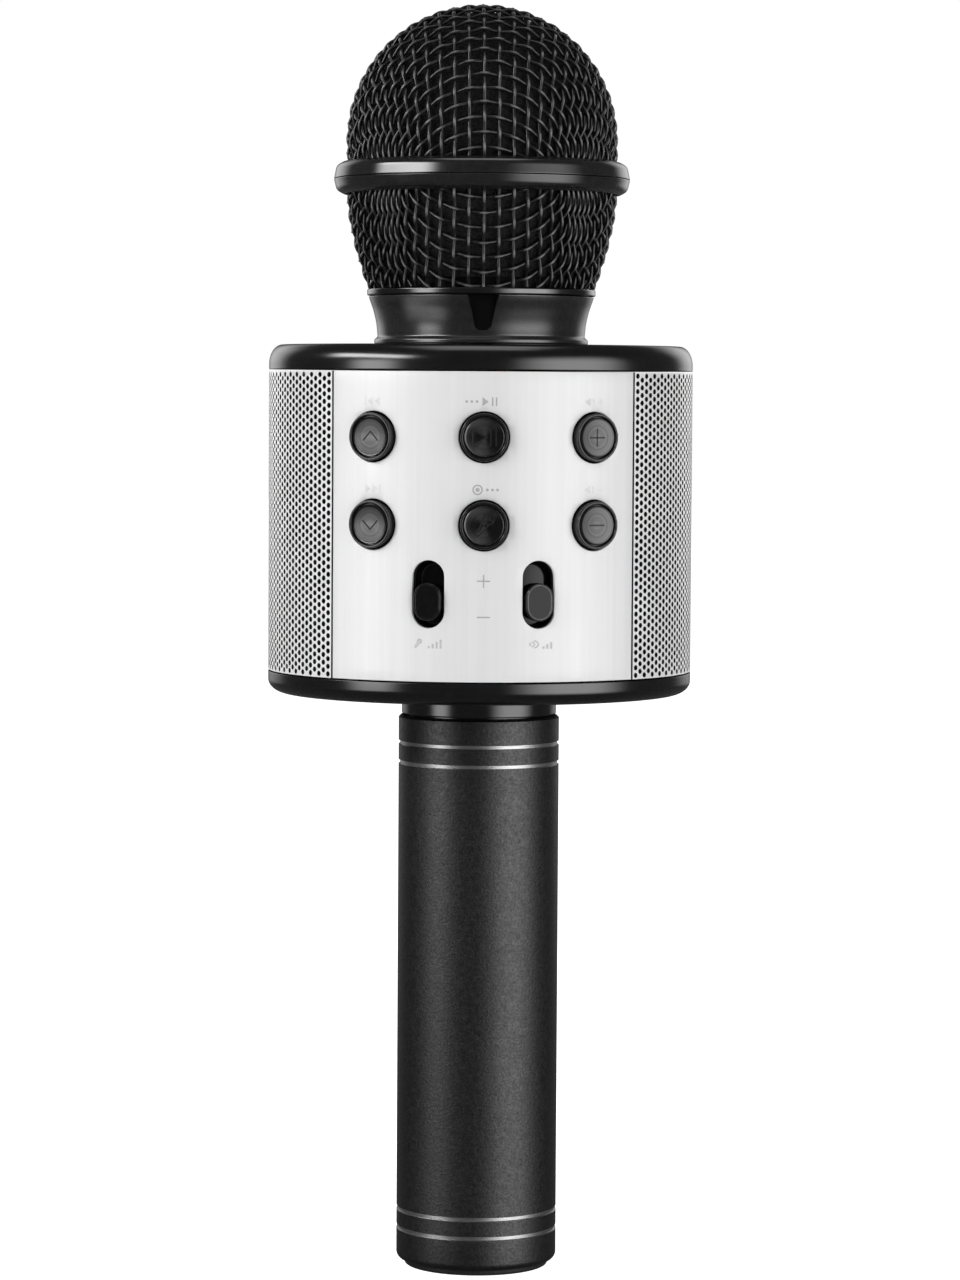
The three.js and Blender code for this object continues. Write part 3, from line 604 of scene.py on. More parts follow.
def gloss_black(name="gloss_black", shade=0.003, roughness=0.17, level=0.8):
    """Polished moulded plastic with a faint orange peel and handling marks."""
    return grained(name, shade, roughness, (900, 2.0, 0.8, 1.3), relief=(260, 1.0, 0.012, 0.25),
                   gloss=(70, 6.0, roughness - 0.025, roughness + 0.035),
                   IOR=1.53, Specular_IOR_Level=level)


def matt_black(name="matt_black", shade=0.012, grain=1800, level=0.35):
    """Moulded plastic with a spark-eroded grain."""
    return grained(name, shade, 0.55, (120, 4.0, 0.8, 1.25), relief=(grain, 3.0, 0.03, 0.6),
                   gloss=(400, 3.0, 0.48, 0.62), Specular_IOR_Level=level)


def printed(name, shade):
    """Pad-printed ink."""
    return grained(name, shade, 0.5, (1500, 3.0, 0.92, 1.08), relief=(3000, 2.0, 0.004, 0.4))


def brushed_panel():
    """Pale silver aluminium sheet, brushed upwards and lacquered."""
    finish = Finish("brushed_panel", 0.78, 0.42, 0.1)
    streaks = finish.noise(1.0, (2600, 2600, 30), detail=4.0)
    finish.bump(streaks, 0.006, 0.35)
    finish.colour(finish.noise(1.0, (900, 900, 12), detail=5.0), 0.965, 1.01)
    return finish.vary_roughness(streaks, 0.36, 0.48).material


def spun_disc():
    """The button's face: a dark metal disc turned on a lathe, whose grooves run round its middle."""
    finish = Finish("spun_disc", 0.085, 0.27, 1.0, Anisotropic=0.9)
    where = finish.node("ShaderNodeTexCoord")
    distance = finish.node("ShaderNodeVectorMath", operation="LENGTH")
    flat = finish.node("ShaderNodeMapping", Scale=(1, 1, 0))
    finish.link(where.outputs["Object"], flat.inputs["Vector"])
    finish.link(flat.outputs["Vector"], distance.inputs[0])
    grooves = finish.node("ShaderNodeTexNoise", noise_dimensions="1D", Scale=9000.0, Detail=2.0)
    finish.link(distance.outputs["Value"], grooves.inputs["W"])
    finish.bump(grooves.outputs[0], 0.006, 0.5)
    tangent = finish.node("ShaderNodeTangent", direction_type="RADIAL", axis="Z")
    finish.link(tangent.outputs[0], finish.surface.inputs["Tangent"])
    coarse = finish.node("ShaderNodeTexNoise", noise_dimensions="1D", Scale=2500.0, Detail=3.0)
    finish.link(distance.outputs["Value"], coarse.inputs["W"])
    return finish.colour(coarse.outputs[0], 0.7, 1.25).material


def black_wire():
    """Painted steel wire. A highlight is painted into its colour on the top of each hump, where the skin
    stands furthest out, broken up by a noise.
    """
    finish = Finish("black_wire", 0.19, 0.3, IOR=1.6)
    finish.bump(finish.noise(5200, detail=3.0), 0.02, 0.5)
    # Painted highlight: the colour rises from near black to the full shade on the hump tops.
    hump_height = finish.node("ShaderNodeAttribute", attribute_name=HUMP_HEIGHT).outputs["Fac"]
    painted_glint_mask = finish.node("ShaderNodeMath", operation="MULTIPLY")
    finish.link(finish.between(hump_height, 0.02, 1.0, (0.7, 1.0)), painted_glint_mask.inputs[0])
    finish.link(finish.between(finish.noise(700, detail=5.0), 0.5, 1.0), painted_glint_mask.inputs[1])
    finish.colour(painted_glint_mask.outputs[0], 0.02, 1.0, (0.0, 1.0))
    return finish.vary_roughness(finish.noise(900, detail=4.0), 0.26, 0.4).material


def polished_lip():
    finish = Finish("polished_lip", 0.1, 0.22, 1.0)
    finish.bump(finish.waves(1800, "Z"), 0.004, 0.3)
    finish.colour(finish.noise(300, detail=4.0), 0.85, 1.15)
    return finish.vary_roughness(finish.noise(200, detail=4.0), 0.12, 0.24).material


def foam():
    """Open-cell foam, its colour darker in the pits of its cells, where its relief sinks: painted shade."""
    finish = Finish("foam", 0.009, 0.95, Specular_IOR_Level=0.2)
    finish.bump(finish.cells(1500), 0.3, 0.9)
    finish.bump(finish.noise(3200, detail=3.0), 0.1, 0.6)
    return finish.colour(finish.cells(1500), 0.35, 1.3, (0.05, 0.6)).material


def acoustic_cloth():
    """Black plain-weave cloth."""
    finish = Finish("acoustic_cloth", 0.01, 0.9, Sheen_Weight=0.1, Sheen_Roughness=0.5)
    finish.bump(finish.waves(600, "Z"), 0.06, 0.6)
    finish.bump(finish.noise(2600, (1, 1, 0.3), detail=3.0), 0.05, 0.6)
    return finish.colour(finish.noise(800, detail=3.0), 0.6, 1.4).material


def circuit_board():
    """Green solder resist over copper tracks."""
    finish = Finish("circuit_board", (0.012, 0.09, 0.035), 0.35)
    tracks = finish.cells(260)
    finish.bump(finish.between(tracks, 0, 1, (0.3, 0.34)), 0.03, 0.5)
    return finish.colour(tracks, 0.75, 1.35, (0.28, 0.36)).material


GLOSS = gloss_black()
MATT = matt_black()
# Near black with little shine for the collar's notch and the thread ring's skirt: painted shade in these
# recesses.
SHADE_BLACK = matt_black("painted_shade_black", 0.0015, level=0.1)
INNER = matt_black("inner_plastic", 0.018, 900)
CHIP = matt_black("component_black", 0.01, 2500)
STEEL = grained("bare_steel", 0.42, 0.34, (200, 4.0, 0.85, 1.1), 1.0,
                (900, 3.0, 0.01, 0.4, (1, 1, 0.2)), (260, 4.0, 0.28, 0.42))
PERFORATED = grained("perforated", 0.93, 0.36, (160, 4.0, 0.94, 1.04), 0.35,
                     (1200, 3.0, 0.01, 0.35, (1, 1, 0.15)), (300, 4.0, 0.3, 0.4))
# The walls of the punched holes and the back of the sheet, painted dark: painted shade in the holes.
HOLE_SHADE = grained("painted_hole_shade", 0.035, 0.6, (600, 3.0, 0.7, 1.3), 0.5, (2400, 3.0, 0.01, 0.4))
BUTTON_RIM = grained("button_rim", 0.008, 0.16, (700, 3.0, 0.8, 1.3), relief=(900, 2.0, 0.006, 0.3),
                     gloss=(500, 4.0, 0.12, 0.22), IOR=1.5)
# A lighter metal line that edges a button's disc and a slider's knob: a painted highlight along their edges.
EDGE_HIGHLIGHT = grained("painted_edge_highlight", 0.11, 0.28, (700, 3.0, 0.85, 1.15), 1.0, gloss=(900, 3.0, 0.2, 0.34))
SLIDER_BLACK = grained("slider_black", 0.004, 0.16, (300, 4.0, 0.8, 1.2),
                       relief=(2500, 2.0, 0.01, 0.4), gloss=(600, 4.0, 0.13, 0.2),
                       Specular_IOR_Level=0.3)


# ---------------------------------------------------------------- handle

def add_handle():
    radius, low, high = HANDLE_R, TUBE[0].z, TUBE[1].z
    bore, edge, chamfer = 14.3, 1.5, 0.4
    outline = [(bore, low), (radius - edge - 0.05, low)]
    outline += arc((radius - edge, low + edge), (edge, edge), -90, 0, 10)
    for height in GROOVES:
        outline += [
            (radius, height - GROOVE_HALF - 0.12),
            (radius, height - GROOVE_HALF),
            (radius - GROOVE_DEPTH, height - GROOVE_HALF + 0.12),
            (radius - GROOVE_DEPTH, height + GROOVE_HALF - 0.12),
            (radius, height + GROOVE_HALF),
            (radius, height + GROOVE_HALF + 0.12),
        ]
    outline += [(radius, high - chamfer - 0.1), (radius, high - chamfer)]
    outline += [(radius - chamfer, high), (bore, high)]

    def in_groove(centre):
        near = min(abs(centre.z - height) for height in GROOVES)
        return int(near < GROOVE_HALF and math.hypot(centre.x, centre.y) > bore + 0.5)

    piece("handle_tube_turned", lathe(outline, 160), [anodised(), bare_groove()],
          "mic_body", ["handle_tube"], pick=in_groove)


def add_end_cap():
    radius, high = END_CAP[1].x, END_CAP[1].z
    pocket, floor = 11.5, 2.0
    groove = (8.6, 9.6, 0.35)  # a moulded ring in the cap's flat face
    outline = [
        (0, 0), (2.0, 0, 0.1), (2.3, 0.4, 0.1), (2.9, 0.4, 0.1), (3.2, 0, 0.1),
        (groove[0], 0, 0.1), (groove[0] + 0.15, groove[2], 0.1),
        (groove[1] - 0.15, groove[2], 0.1), (groove[1], 0, 0.1),
        (radius, 0, 0.6), (radius, high, 0.2), (pocket, high, 0.2), (pocket, floor, 0.3), (0, floor),
    ]
    piece("handle_end_cap_moulded", lathe(rounded(outline), 128), MATT,
          "mic_body", ["handle_end_cap"])


# ---------------------------------------------------------------- drum covers and collar

def underside_tools():
    """What is cut through the drum's floor: the mouths of the sockets and the stepped screw holes."""
    low, high = COVER_FLOOR
    sink = 0.35  # of the bevel round each mouth
    clear = 0.35
    mouths = {180: (13.1, 5.7, 0.9), 96: (8.9, 3.3, 1.2), 66: (12.0, 1.8, 0.8), -90: (5.6, 2.0, 1.0)}
    tools = []
    for azimuth, (across, deep, corner) in mouths.items():
        width, depth = across + 2 * clear, deep + 2 * clear
        mouth = rectangle(width, depth, corner)
        wide = rectangle(width + 2 * sink, depth + 2 * sink, corner + sink)
        sections = [at_height(wide, low - 1), at_height(wide, low), at_height(mouth, low + sink),
                    at_height(mouth, high + 1)]
        tools.append(turned_out(loft(sections), azimuth, SOCKET_RING))
    aux = [(0, low - 1), (3.9, low - 1), (3.9, low), (3.4, low + 0.5), (3.4, high + 1), (0, high + 1)]
    tools.append(turned_out(lathe(aux, 48), -118, SOCKET_RING))
    screw = [(0, low - 1), (3.1, low - 1), (3.1, low), (2.9, low + 0.2), (2.9, low + 1.4),
             (1.5, low + 1.4), (1.5, high + 1), (0, high + 1)]
    for azimuth in SCREW_ANGLES:
        tools.append(turned_out(lathe(screw, 40), azimuth, SCREW_RING))
    return tools


def turned_out(part, azimuth, ring):
    """A solid modelled at the origin, moved out to a distance from the axis and turned to an azimuth."""
    points, faces = part
    angle = math.radians(azimuth)
    turn = np.array(Matrix.Rotation(angle, 3, "Z"))
    return (points + np.array((0, -ring, 0))) @ turn.T, faces


def add_bottom_cover():
    low, high = BOTTOM_COVER
    sleeve, spigot, bore, sleeve_low = 15.0, 13.9, 10.5, 107.9
    floor_low, floor_top = COVER_FLOOR
    edge = (3.4, 2.6)
    outline = rounded([
        (bore, low.z), (spigot, low.z, 0.3), (spigot, sleeve_low, 0), (sleeve, sleeve_low, 0.25),
        (sleeve, floor_low - 0.02, 0.45), (DRUM_R - edge[0] - 1.2, floor_low, 0),
    ])
    outline += arc((DRUM_R - edge[0], floor_low + edge[1]), edge, -90, 0, 16)
    outline += rounded([
        (DRUM_R, high.z - 0.3, 0), (DRUM_R, high.z, 0.12), (COVER_RIM, high.z, 0),
        (COVER_RIM, floor_top, 0), (bore, floor_top, 0),
    ])[1:]
    base = lathe(outline, 144)
    piece("drum_bottom_cover_moulded", carved("bottom_cover", base, underside_tools()), GLOSS,
          "mic_body", ["drum_bottom_cover"], crease=28)


def add_top_cover():
    low, high = TOP_COVER
    bore, ceiling = 9.0, 177.0
    edge = (2.6, 3.7)
    outline = [(bore, ceiling), (COVER_RIM, ceiling), (COVER_RIM, low.z)]
    outline += rounded([(COVER_RIM, low.z, 0), (DRUM_R, low.z, 0.12),
                        (DRUM_R, high.z - edge[1], 0)])[1:-1]
    outline += arc((DRUM_R - edge[0], high.z - edge[1]), edge, 0, 90, 16)
    outline += [(DRUM_R - edge[0] - 0.6, high.z), (22.4, high.z), (22.3, high.z), (bore, high.z)]
    piece("drum_top_cover_moulded", lathe(outline, 160), GLOSS,
          "mic_body", ["drum_top_cover"], crease=28)


def add_collar():
    low, high = COLLAR
    bore, spigot, ridge, shoulder = 16.0, 18.6, 19.0, 188.6
    flare = [
        (20.7, low.z, 0.2), (20.7, low.z + 0.8, 0.25), (20.05, low.z + 1.3, 0.35),
        (20.3, low.z + 4.0, 1.6), (20.9, low.z + 6.5, 1.6), (21.55, low.z + 8.3, 0.3),
        (21.8, shoulder, 0.15), (spigot, shoulder, 0.1),
    ]
    ridges = [(r, z + dz, 0.05) for z in (189.6, 191.2, 192.8)
              for r, dz in ((spigot, -0.4), (ridge, 0), (spigot, 0.4))]
    base = lathe(rounded([(bore, low.z), *flare, *ridges, (spigot, high.z), (bore, high.z)]), 144)

    # The notch: a U, open at the shoulder, wider at its top and round at its foot.
    top, foot, height, depth, corner = 2.95, 1.75, 6.8, 1.3, 1.5
    floor = shoulder - height
    sections = []
    for y, grow in ((-25.0, 1.0), (-21.4, 0.25), (-20.6, 0.0), (-(21.2 - depth), -0.12)):
        outline = [(-top - grow, shoulder + 1)]
        outline += [(-foot - grow, floor + corner)]
        outline += arc((-foot - grow + corner, floor + corner), (corner, corner + grow), 190, 260, 6)
        outline += arc((foot + grow - corner, floor + corner), (corner, corner + grow), 280, 350, 6)
        outline += [(foot + grow, floor + corner), (top + grow, shoulder + 1)]
        sections.append(np.array([(x, y, z) for x, z in outline]))

    # The faces inside the notch take the painted shade black.
    def in_notch(centre):
        wall = np.interp(centre.z, [point[1] for point in flare], [point[0] for point in flare])
        near = abs(centre.x) < top + 0.4 and centre.y < 0 and centre.z > floor - 0.3
        return int(near and math.hypot(centre.x, centre.y) < wall - 0.12)

    finishes = [gloss_black("collar_gloss", 0.018, 0.22, 1.0), SHADE_BLACK]
    piece("neck_collar_moulded", carved("collar", base, [loft(sections)]), finishes,
          "mic_body", ["neck_collar"], crease=28, pick=in_notch)


def add_cover_screws():
    """Cross-head screws in the bottom cover, seen from below."""
    low, high = span("bottom_cover_screw_1")
    head_low, head_high = low.z, low.z + 1.0
    outline = rounded([
        (0, head_low), (1.9, head_low, 0.4), (2.5, head_low + 0.55, 0.2), (2.5, head_high, 0.1),
        (1.2, head_high, 0), (1.2, high.z - 0.6, 0), (0.7, high.z, 0), (0, high.z),
    ])
    outline[0], outline[-1] = (0, head_low), (0, high.z)
    arms = []
    for size in ((0.62, 3.0, 0.15), (3.0, 0.62, 0.15)):
        wide = rectangle(*size)
        arms.append(loft([at_height(wide, head_low - 1), at_height(wide * 0.8, head_low + 0.6)]))
    screw = carved("screw", carved("screw", lathe(outline, 40), arms[:1]), arms[1:])
    for number, azimuth in enumerate(SCREW_ANGLES, 1):
        piece(f"cover_screw_{number}", turned_out(screw, azimuth, SCREW_RING), STEEL,
              "mic_body", [f"bottom_cover_screw_{number}"])


# ---------------------------------------------------------------- drum wall

def add_control_panel():
    half = math.radians(PANEL_ANGLE) * DRUM_R
    low, high = PANEL[0].z, PANEL[1].z
    across = np.linspace(-half, half, 53)
    up = np.linspace(low, high, 25)
    outline = [(x, low) for x in across[:-1]] + [(half, z) for z in up[:-1]]
    outline += [(x, high) for x in across[:0:-1]] + [(-half, z) for z in up[:0:-1]]

    holes = []
    for name in BUTTON_NAMES:
        azimuth, z = button_place(name)
        x = math.radians(azimuth) * DRUM_R

        def in_round(px, pz, margin, x=x, z=z):
            return math.hypot(px - x, pz - z) < BUTTON_HOLE + margin

        holes.append((circle(BUTTON_HOLE, 56) + (x, z), in_round))
    for azimuth in (-SLOT_ANGLE, SLOT_ANGLE):
        x = math.radians(azimuth) * DRUM_R

        def in_slot(px, pz, margin, x=x):
            straight = (SLOT_SIZE[1] - SLOT_SIZE[0]) / 2
            rise = max(0.0, abs(pz - SLOT_Z) - straight)
            return math.hypot(px - x, rise) < SLOT_SIZE[0] / 2 + margin

        holes.append((stadium(*SLOT_SIZE, steps=20) + (x, SLOT_Z), in_slot))

    grid = [(x, z) for x in across[1:-1] for z in up[1:-1]]
    flat, triangles = triangulated(outline, holes, grid)
    piece("control_panel_sheet", curved_plate(flat, triangles, DRUM_R, PANEL_INNER, 0.14),
          brushed_panel(), "mic_body", ["control_panel"])


def perforated_half(width):
    """A flat triangulation of half the perforated sheet, from x 0 to its width: staggered columns of round
    holes, each in its own hexagonal cell, with the notches along the borders filled."""
    half_pitch = HOLE_PITCH / 2
    step = width + math.sqrt(width**2 - 4 * HALF_COLUMNS * half_pitch**2)
    step /= 2 * HALF_COLUMNS  # from the width: all columns, and one cell's point on each side
    near = step / 2 - half_pitch**2 / (2 * step)
    far = step / 2 + half_pitch**2 / (2 * step)
    cell = np.array([(far, 0), (near, half_pitch), (-near, half_pitch),
                     (-far, 0), (-near, -half_pitch), (near, -half_pitch)])
    hole = circle(HOLE_R, HOLE_SIDES)
    fans = []
    for side in range(6):
        first = 2 * side
        after = (first + 1) % HOLE_SIDES
        last = (first + 2) % HOLE_SIDES
        outer, following = HOLE_SIDES + side, HOLE_SIDES + (side + 1) % 6
        fans += [(first, outer, after), (after, outer, following), (after, following, last)]
    template = np.vstack((hole, cell))
    points, triangles = [], []

    def put(some_points, some_triangles):
        start = sum(len(p) for p in points)
        points.append(np.array(some_points, float))
        triangles.append(np.array(some_triangles) + start)

    high = HOLE_PITCH * HOLE_ROWS
    for column in range(HALF_COLUMNS):
        x = far + column * step
        odd = column % 2
        for row in range(HOLE_ROWS - odd):
            z = half_pitch + row * HOLE_PITCH + odd * half_pitch
            put(template + (x, z), fans)
        if odd:
            foot = [(x - far, 0), (x + far, 0), (x + near, half_pitch), (x - near, half_pitch)]
            head = [(x - near, high - half_pitch), (x + near, high - half_pitch),
                    (x + far, high), (x - far, high)]
            for notch in (foot, head):
                put(notch, [(0, 1, 2), (0, 2, 3)])
    last = far + (HALF_COLUMNS - 1) * step
    for x, edge, turn in ((far - near, 0.0, 1), (last + near, last + far, -1)):
        put([(edge, 0), (x, 0), (edge, half_pitch)], [(0, 1, 2)[::turn]])
        put([(edge, high), (edge, high - half_pitch), (x, high)], [(0, 1, 2)[::turn]])
        for row in range(1, HOLE_ROWS):
            z = row * HOLE_PITCH
            put([(edge, z - half_pitch), (x, z), (edge, z + half_pitch)], [(0, 1, 2)[::turn]])

    points = np.vstack(points)
    triangles = np.vstack(triangles)
    _, first, merged = np.unique(np.round(points, 4), axis=0, return_index=True, return_inverse=True)
    return points[first], merged.reshape(-1)[triangles]


def add_speaker_grille():
    seam = 0.1
    width = math.radians(GRILLE_ANGLE / 2) * DRUM_R - seam / 2
    start = math.radians(PANEL_ANGLE + 0.5) * DRUM_R
    flat, triangles = perforated_half(width)
    flat = flat + (start, PANEL[0].z)

    # The hole walls and the sheet's back take the painted hole shade.
    def behind(centre):
        return int(math.hypot(centre.x, centre.y) < DRUM_R - 0.1)

    mirrored = flat * (-1, 1)
    halves = (("right", flat, triangles), ("left", mirrored, triangles[:, ::-1]))
    for side, spread, order in halves:
        replaced = ["speaker_grille"] if side == "right" else []
        piece(f"speaker_grille_{side}", curved_plate(spread, order, DRUM_R, GRILLE_INNER),
              [PERFORATED, HOLE_SHADE], "mic_body", replaced, pick=behind)


def add_acoustic_cloth():
    """Black cloth stretched on the skeleton, behind the perforated sheet."""
    low, high = span("acoustic_cloth")
    start = math.radians(CLOTH_START) * CLOTH_RADII[0]
    end = math.radians(360 - CLOTH_START) * CLOTH_RADII[0]
    grid = flat_grid(np.linspace(start, end, 160), np.linspace(low.z, high.z, 30))
    cloth = piece("acoustic_cloth_sheet", curved_plate(*grid, *CLOTH_RADII), acoustic_cloth(),
                  "mic_body", ["acoustic_cloth"])


# ---------------------------------------------------------------- buttons, sliders and marks

def disc_height(x, y):
    """The dish of a button's disc."""
    return DISC_FACE + 0.28 * (x * x + y * y) / DISC_R**2


def chevron(turn):
    return [("line", [(-1.6, -0.75 * turn), (0, 0.95 * turn), (1.6, -0.75 * turn)], False)]


def plus(size, sign=1):
    bars = [("line", [(-size, 0), (size, 0)], False)]
    return bars + ([("line", [(0, -size), (0, size)], False)] if sign > 0 else [])


def play_pause(size=1.0):
    triangle = [(-1.35 * size, -size), (0.25 * size, 0), (-1.35 * size, size)]
    bars = [("line", [(x * size, -size), (x * size, size)], False) for x in (0.75, 1.35)]
    return [("line", triangle, True), *bars]


def small_microphone(size=1.0):
    """A round head on a tapered grip, leaning to the left."""
    lean = math.radians(-35)

    def leaning(points):
        return [(size * (x * math.cos(lean) - y * math.sin(lean)),
                 size * (x * math.sin(lean) + y * math.cos(lean))) for x, y in points]

    head = leaning(arc((0, 1.1), (0.75, 0.75), 0, 350, 18))
    grip = leaning([(-0.45, 0.4), (-0.2, -1.7), (0.2, -1.7), (0.45, 0.4)])
    return [("line", head, True), ("line", grip, False), ("line", leaning([(-0.7, 1.1), (0.7, 1.1)]), False)]


BUTTON_MARKS = {
    "previous": chevron(1),
    "next": chevron(-1),
    "play_pause": play_pause(1.6),
    "record": small_microphone(1.4),
    "volume_up": plus(1.7),
    "volume_down": plus(1.7, -1),
}


def drawn(marks, lift, width):
    """Printed marks as one set of meshes: each is a line (closed or not) or a filled convex area."""
    parts = []
    for kind, outline, *closed in marks:
        if kind == "line":
            parts.append(print_stroke(outline, width, lift, closed[0]))
        else:
            parts.append(print_area(outline, lift))
    return gather(parts)


def button_cap(azimuth):
    """The black body of a button, and the stem behind it, in the frame of its own radius. It is slimmer
    inside the drum, where it slides in the frame."""
    back, flange, flange_top = 36.6, 5.5, 37.4
    slim, shoulder = BUTTON_R - 0.15, 40.0
    outline = rounded([
        (0, back), (flange, back, 0.1), (flange, flange_top, 0.15), (slim, flange_top, 0.1),
        (slim, shoulder, 0), (BUTTON_R, shoulder + 0.15, 0), (BUTTON_R, BUTTON_FACE, 0.32),
        (DISC_R + 0.28, BUTTON_FACE, 0.16), (DISC_R + 0.12, DISC_FACE + 0.05, 0),
        (DISC_R + 0.12, DISC_FACE - 0.3, 0), (0, DISC_FACE - 0.3),
    ])
    outline[0], outline[-1] = (0, back), (0, DISC_FACE - 0.3)
    cap = lathe(outline, 72)
    x, y = around((back + flange_top) / 2, azimuth)
    length = STEM_TIP - y
    stem = lathe(rounded([(0, 0), (1.5, 0, 0.2), (1.5, length, 0), (0, length)]), 24)
    points, faces = moved(stem, Matrix.Rotation(math.radians(-90), 4, "X"))
    into_radius = np.array(radial(azimuth).to_3x3())
    return gather([cap, ((points + (x, y, 0)) @ into_radius, faces)])


def spun_insert():
    """The dished metal disc in a button, with a polished chamfer round it."""
    outline = [(0, DISC_FACE - 0.25), (DISC_R, DISC_FACE - 0.25), (DISC_R, disc_height(DISC_R, 0) - 0.1),
               (DISC_R - 0.14, disc_height(DISC_R - 0.14, 0) + 0.02)]
    outline += [(r, disc_height(r, 0)) for r in np.linspace(DISC_R - 0.2, 0, 14)]
    outline[-1] = (0, DISC_FACE)
    return lathe(outline, 72)


def add_buttons():
    disc = spun_disc()
    ink = printed("button_ink", 0.004)

    # The disc's chamfer takes the painted edge highlight.
    def on_chamfer(centre):
        return int(math.hypot(centre.x, centre.y) > DISC_R - 0.17)

    def lift(x, y, height):
        return (x, y, disc_height(x, y) + height)

    for name in BUTTON_NAMES:
        azimuth, z = button_place(name)
        body = f"button_{name}"
        place = radial(azimuth, z)
        piece(f"button_{name}_cap", button_cap(azimuth), BUTTON_RIM, body, [body],
              matrix=place)
        piece(f"button_{name}_disc", spun_insert(), [disc, EDGE_HIGHLIGHT], body,
              pick=on_chamfer, matrix=place)
        piece(f"button_{name}_mark", drawn(BUTTON_MARKS[name], lift, 0.3), ink, body,
              matrix=place)


def add_sliders():
    """The two slider knobs, each with the lever and the glossy shield behind it."""
    shield_gloss = gloss_black("shield_black", 0.002, 0.08, 0.3)
    for name, side in zip(SLIDER_NAMES, (-1, 1)):
        azimuth = side * SLOT_ANGLE
        back, face = KNOB_REACH
        layers = [(back, 0.0), (face - 0.3, 0.0), (face - 0.14, 0.05), (face - 0.03, 0.17),
                  (face - 0.03, 0.32), (face, 0.34), (face, 0.44), (face - 0.03, 0.46)]
        sections = [at_height(stadium(*KNOB_SIZE, inset=inset, steps=14), reach)
                    for reach, inset in layers]
        knob = loft(sections)

        # The knob's top edge takes the painted edge highlight.
        def outlined(centre, face=face):
            return int(centre.z > face - 0.02)

        place = radial(azimuth, KNOB_REST)
        piece(f"{name}_knob", knob, [SLIDER_BLACK, EDGE_HIGHLIGHT], name, [name],
              pick=outlined, matrix=place, crease=40)
        turn = np.radians(np.linspace(azimuth - SHIELD_ANGLE, azimuth + SHIELD_ANGLE, 17))
        grid = flat_grid(turn * SHIELD_RADII[0], np.linspace(*SHIELD_HEIGHTS, 3))
        piece(f"{name}_shield", curved_plate(*grid, *SHIELD_RADII, 0.1),
              shield_gloss, name)
        lever_x, lever_y = around(back + 0.5, azimuth)
        lever = rectangle(1.6, 2.4, 0.2)
        sections = [np.array([(lever_x + x, y, KNOB_REST + z) for x, z in lever])
                    for y in (lever_y, LEVER_TIP)]
        piece(f"{name}_lever", loft(sections), SLIDER_BLACK, name)


def on_panel(azimuth, z):
    """Carries flat points, right and up from a place on the panel, to the panel's face."""
    def lift(x, y, height):
        radius = DRUM_R + 0.002 + height
        px, py = around(radius, azimuth + math.degrees(x / DRUM_R))
        return (px, py, z + y)
    return lift


def shifted(marks, dx):
    return [(kind, [(x + dx, y) for x, y in outline], *rest) for kind, outline, *rest in marks]


def triangle(turn):
    """A filled triangle that points right (1) or left (-1)."""
    points = [(-0.48 * turn, -0.8), (0.64 * turn, 0), (-0.48 * turn, 0.8)]
    return [("area", points[::turn])]


def bar():
    return [("line", [(0, -0.8), (0, 0.8)], False)]


def loud():
    """A small loudspeaker sign with one sound wave."""
    horn = [("area", [(-0.9, -0.35), (-0.4, -0.35), (0.2, -0.85), (0.2, 0.85), (-0.4, 0.35), (-0.9, 0.35)])]
    return horn + [("line", arc((0.1, 0), (0.85, 0.85), -50, 50, 6), False)]


def steps_sign(count=4):
    """Bars of growing height, for a level."""
    return [("area", [(0.75 * k - 0.2, -0.85), (0.75 * k + 0.2, -0.85), (0.75 * k + 0.2, -0.4 + 0.4 * k),
                      (0.75 * k - 0.2, -0.4 + 0.4 * k)]) for k in range(count)]


def add_panel_marks():
    """Generic signs above the buttons and below the sliders, and the plus and minus between the sliders."""
    grey = printed("mark_grey", 0.4)
    pale = printed("mark_pale", 0.7)
    faint = printed("mark_faint", 0.52)
    ring_dot = [("line", arc((0, 0), (0.85, 0.85), 0, 340, 16), True),
                ("area", arc((0, 0), (0.4, 0.4), 0, 330, 11))]
    echo = [("line", arc((-1.2 + 0.2 * k, 0), (0.5 + 0.55 * k, 0.3 + 0.25 * k), -60, 60, 6), False)
            for k in range(3)]
    dots = [("area", arc((0.95 * k, 0), (0.26, 0.26), 0, 330, 11)) for k in range(3)]
    upper, lower = button_place("previous")[1] + 6.6, button_place("next")[1] + 6.6
    left, right = button_place("previous")[0], button_place("volume_up")[0]
    under = SLOT_Z - 9.2
    signs = {
        "previous": (left, upper, pale, shifted(bar(), -1.6) + shifted(triangle(-1), -0.5)
                     + shifted(triangle(-1), 1.0)),
        "next": (left, lower, pale, shifted(triangle(1), -1.0) + shifted(triangle(1), 0.5)
                 + shifted(bar(), 1.6)),
        "play": (0, upper, grey, shifted(dots, -3.3) + shifted(triangle(1), 0.1)
                 + shifted(bar(), 1.5) + shifted(bar(), 2.2)),
        "record": (0, lower, grey, shifted(ring_dot, -1.2) + shifted(dots, 0.6)),
        "louder": (right, upper, pale, shifted(loud(), -1.2) + shifted(plus(0.6), 1.2)),
        "quieter": (right, lower, pale, shifted(loud(), -1.2) + shifted(plus(0.6, -1), 1.2)),
        "level": (-SLOT_ANGLE, under, faint, shifted(small_microphone(0.5), -1.9)
                  + shifted(steps_sign(), 0.2)),
        "echo": (SLOT_ANGLE, under, faint, shifted(echo, -0.8) + shifted(steps_sign(3), 1.0)),
        "more": (0, SLOT_Z + 2.5, grey, plus(1.2)),
        "less": (0, SLOT_Z - 4.2, grey, plus(1.2, -1)),
    }
    for name, (azimuth, z, ink, marks) in signs.items():
        piece(f"panel_mark_{name}", drawn(marks, on_panel(azimuth, z), 0.26), ink,
              "mic_body")


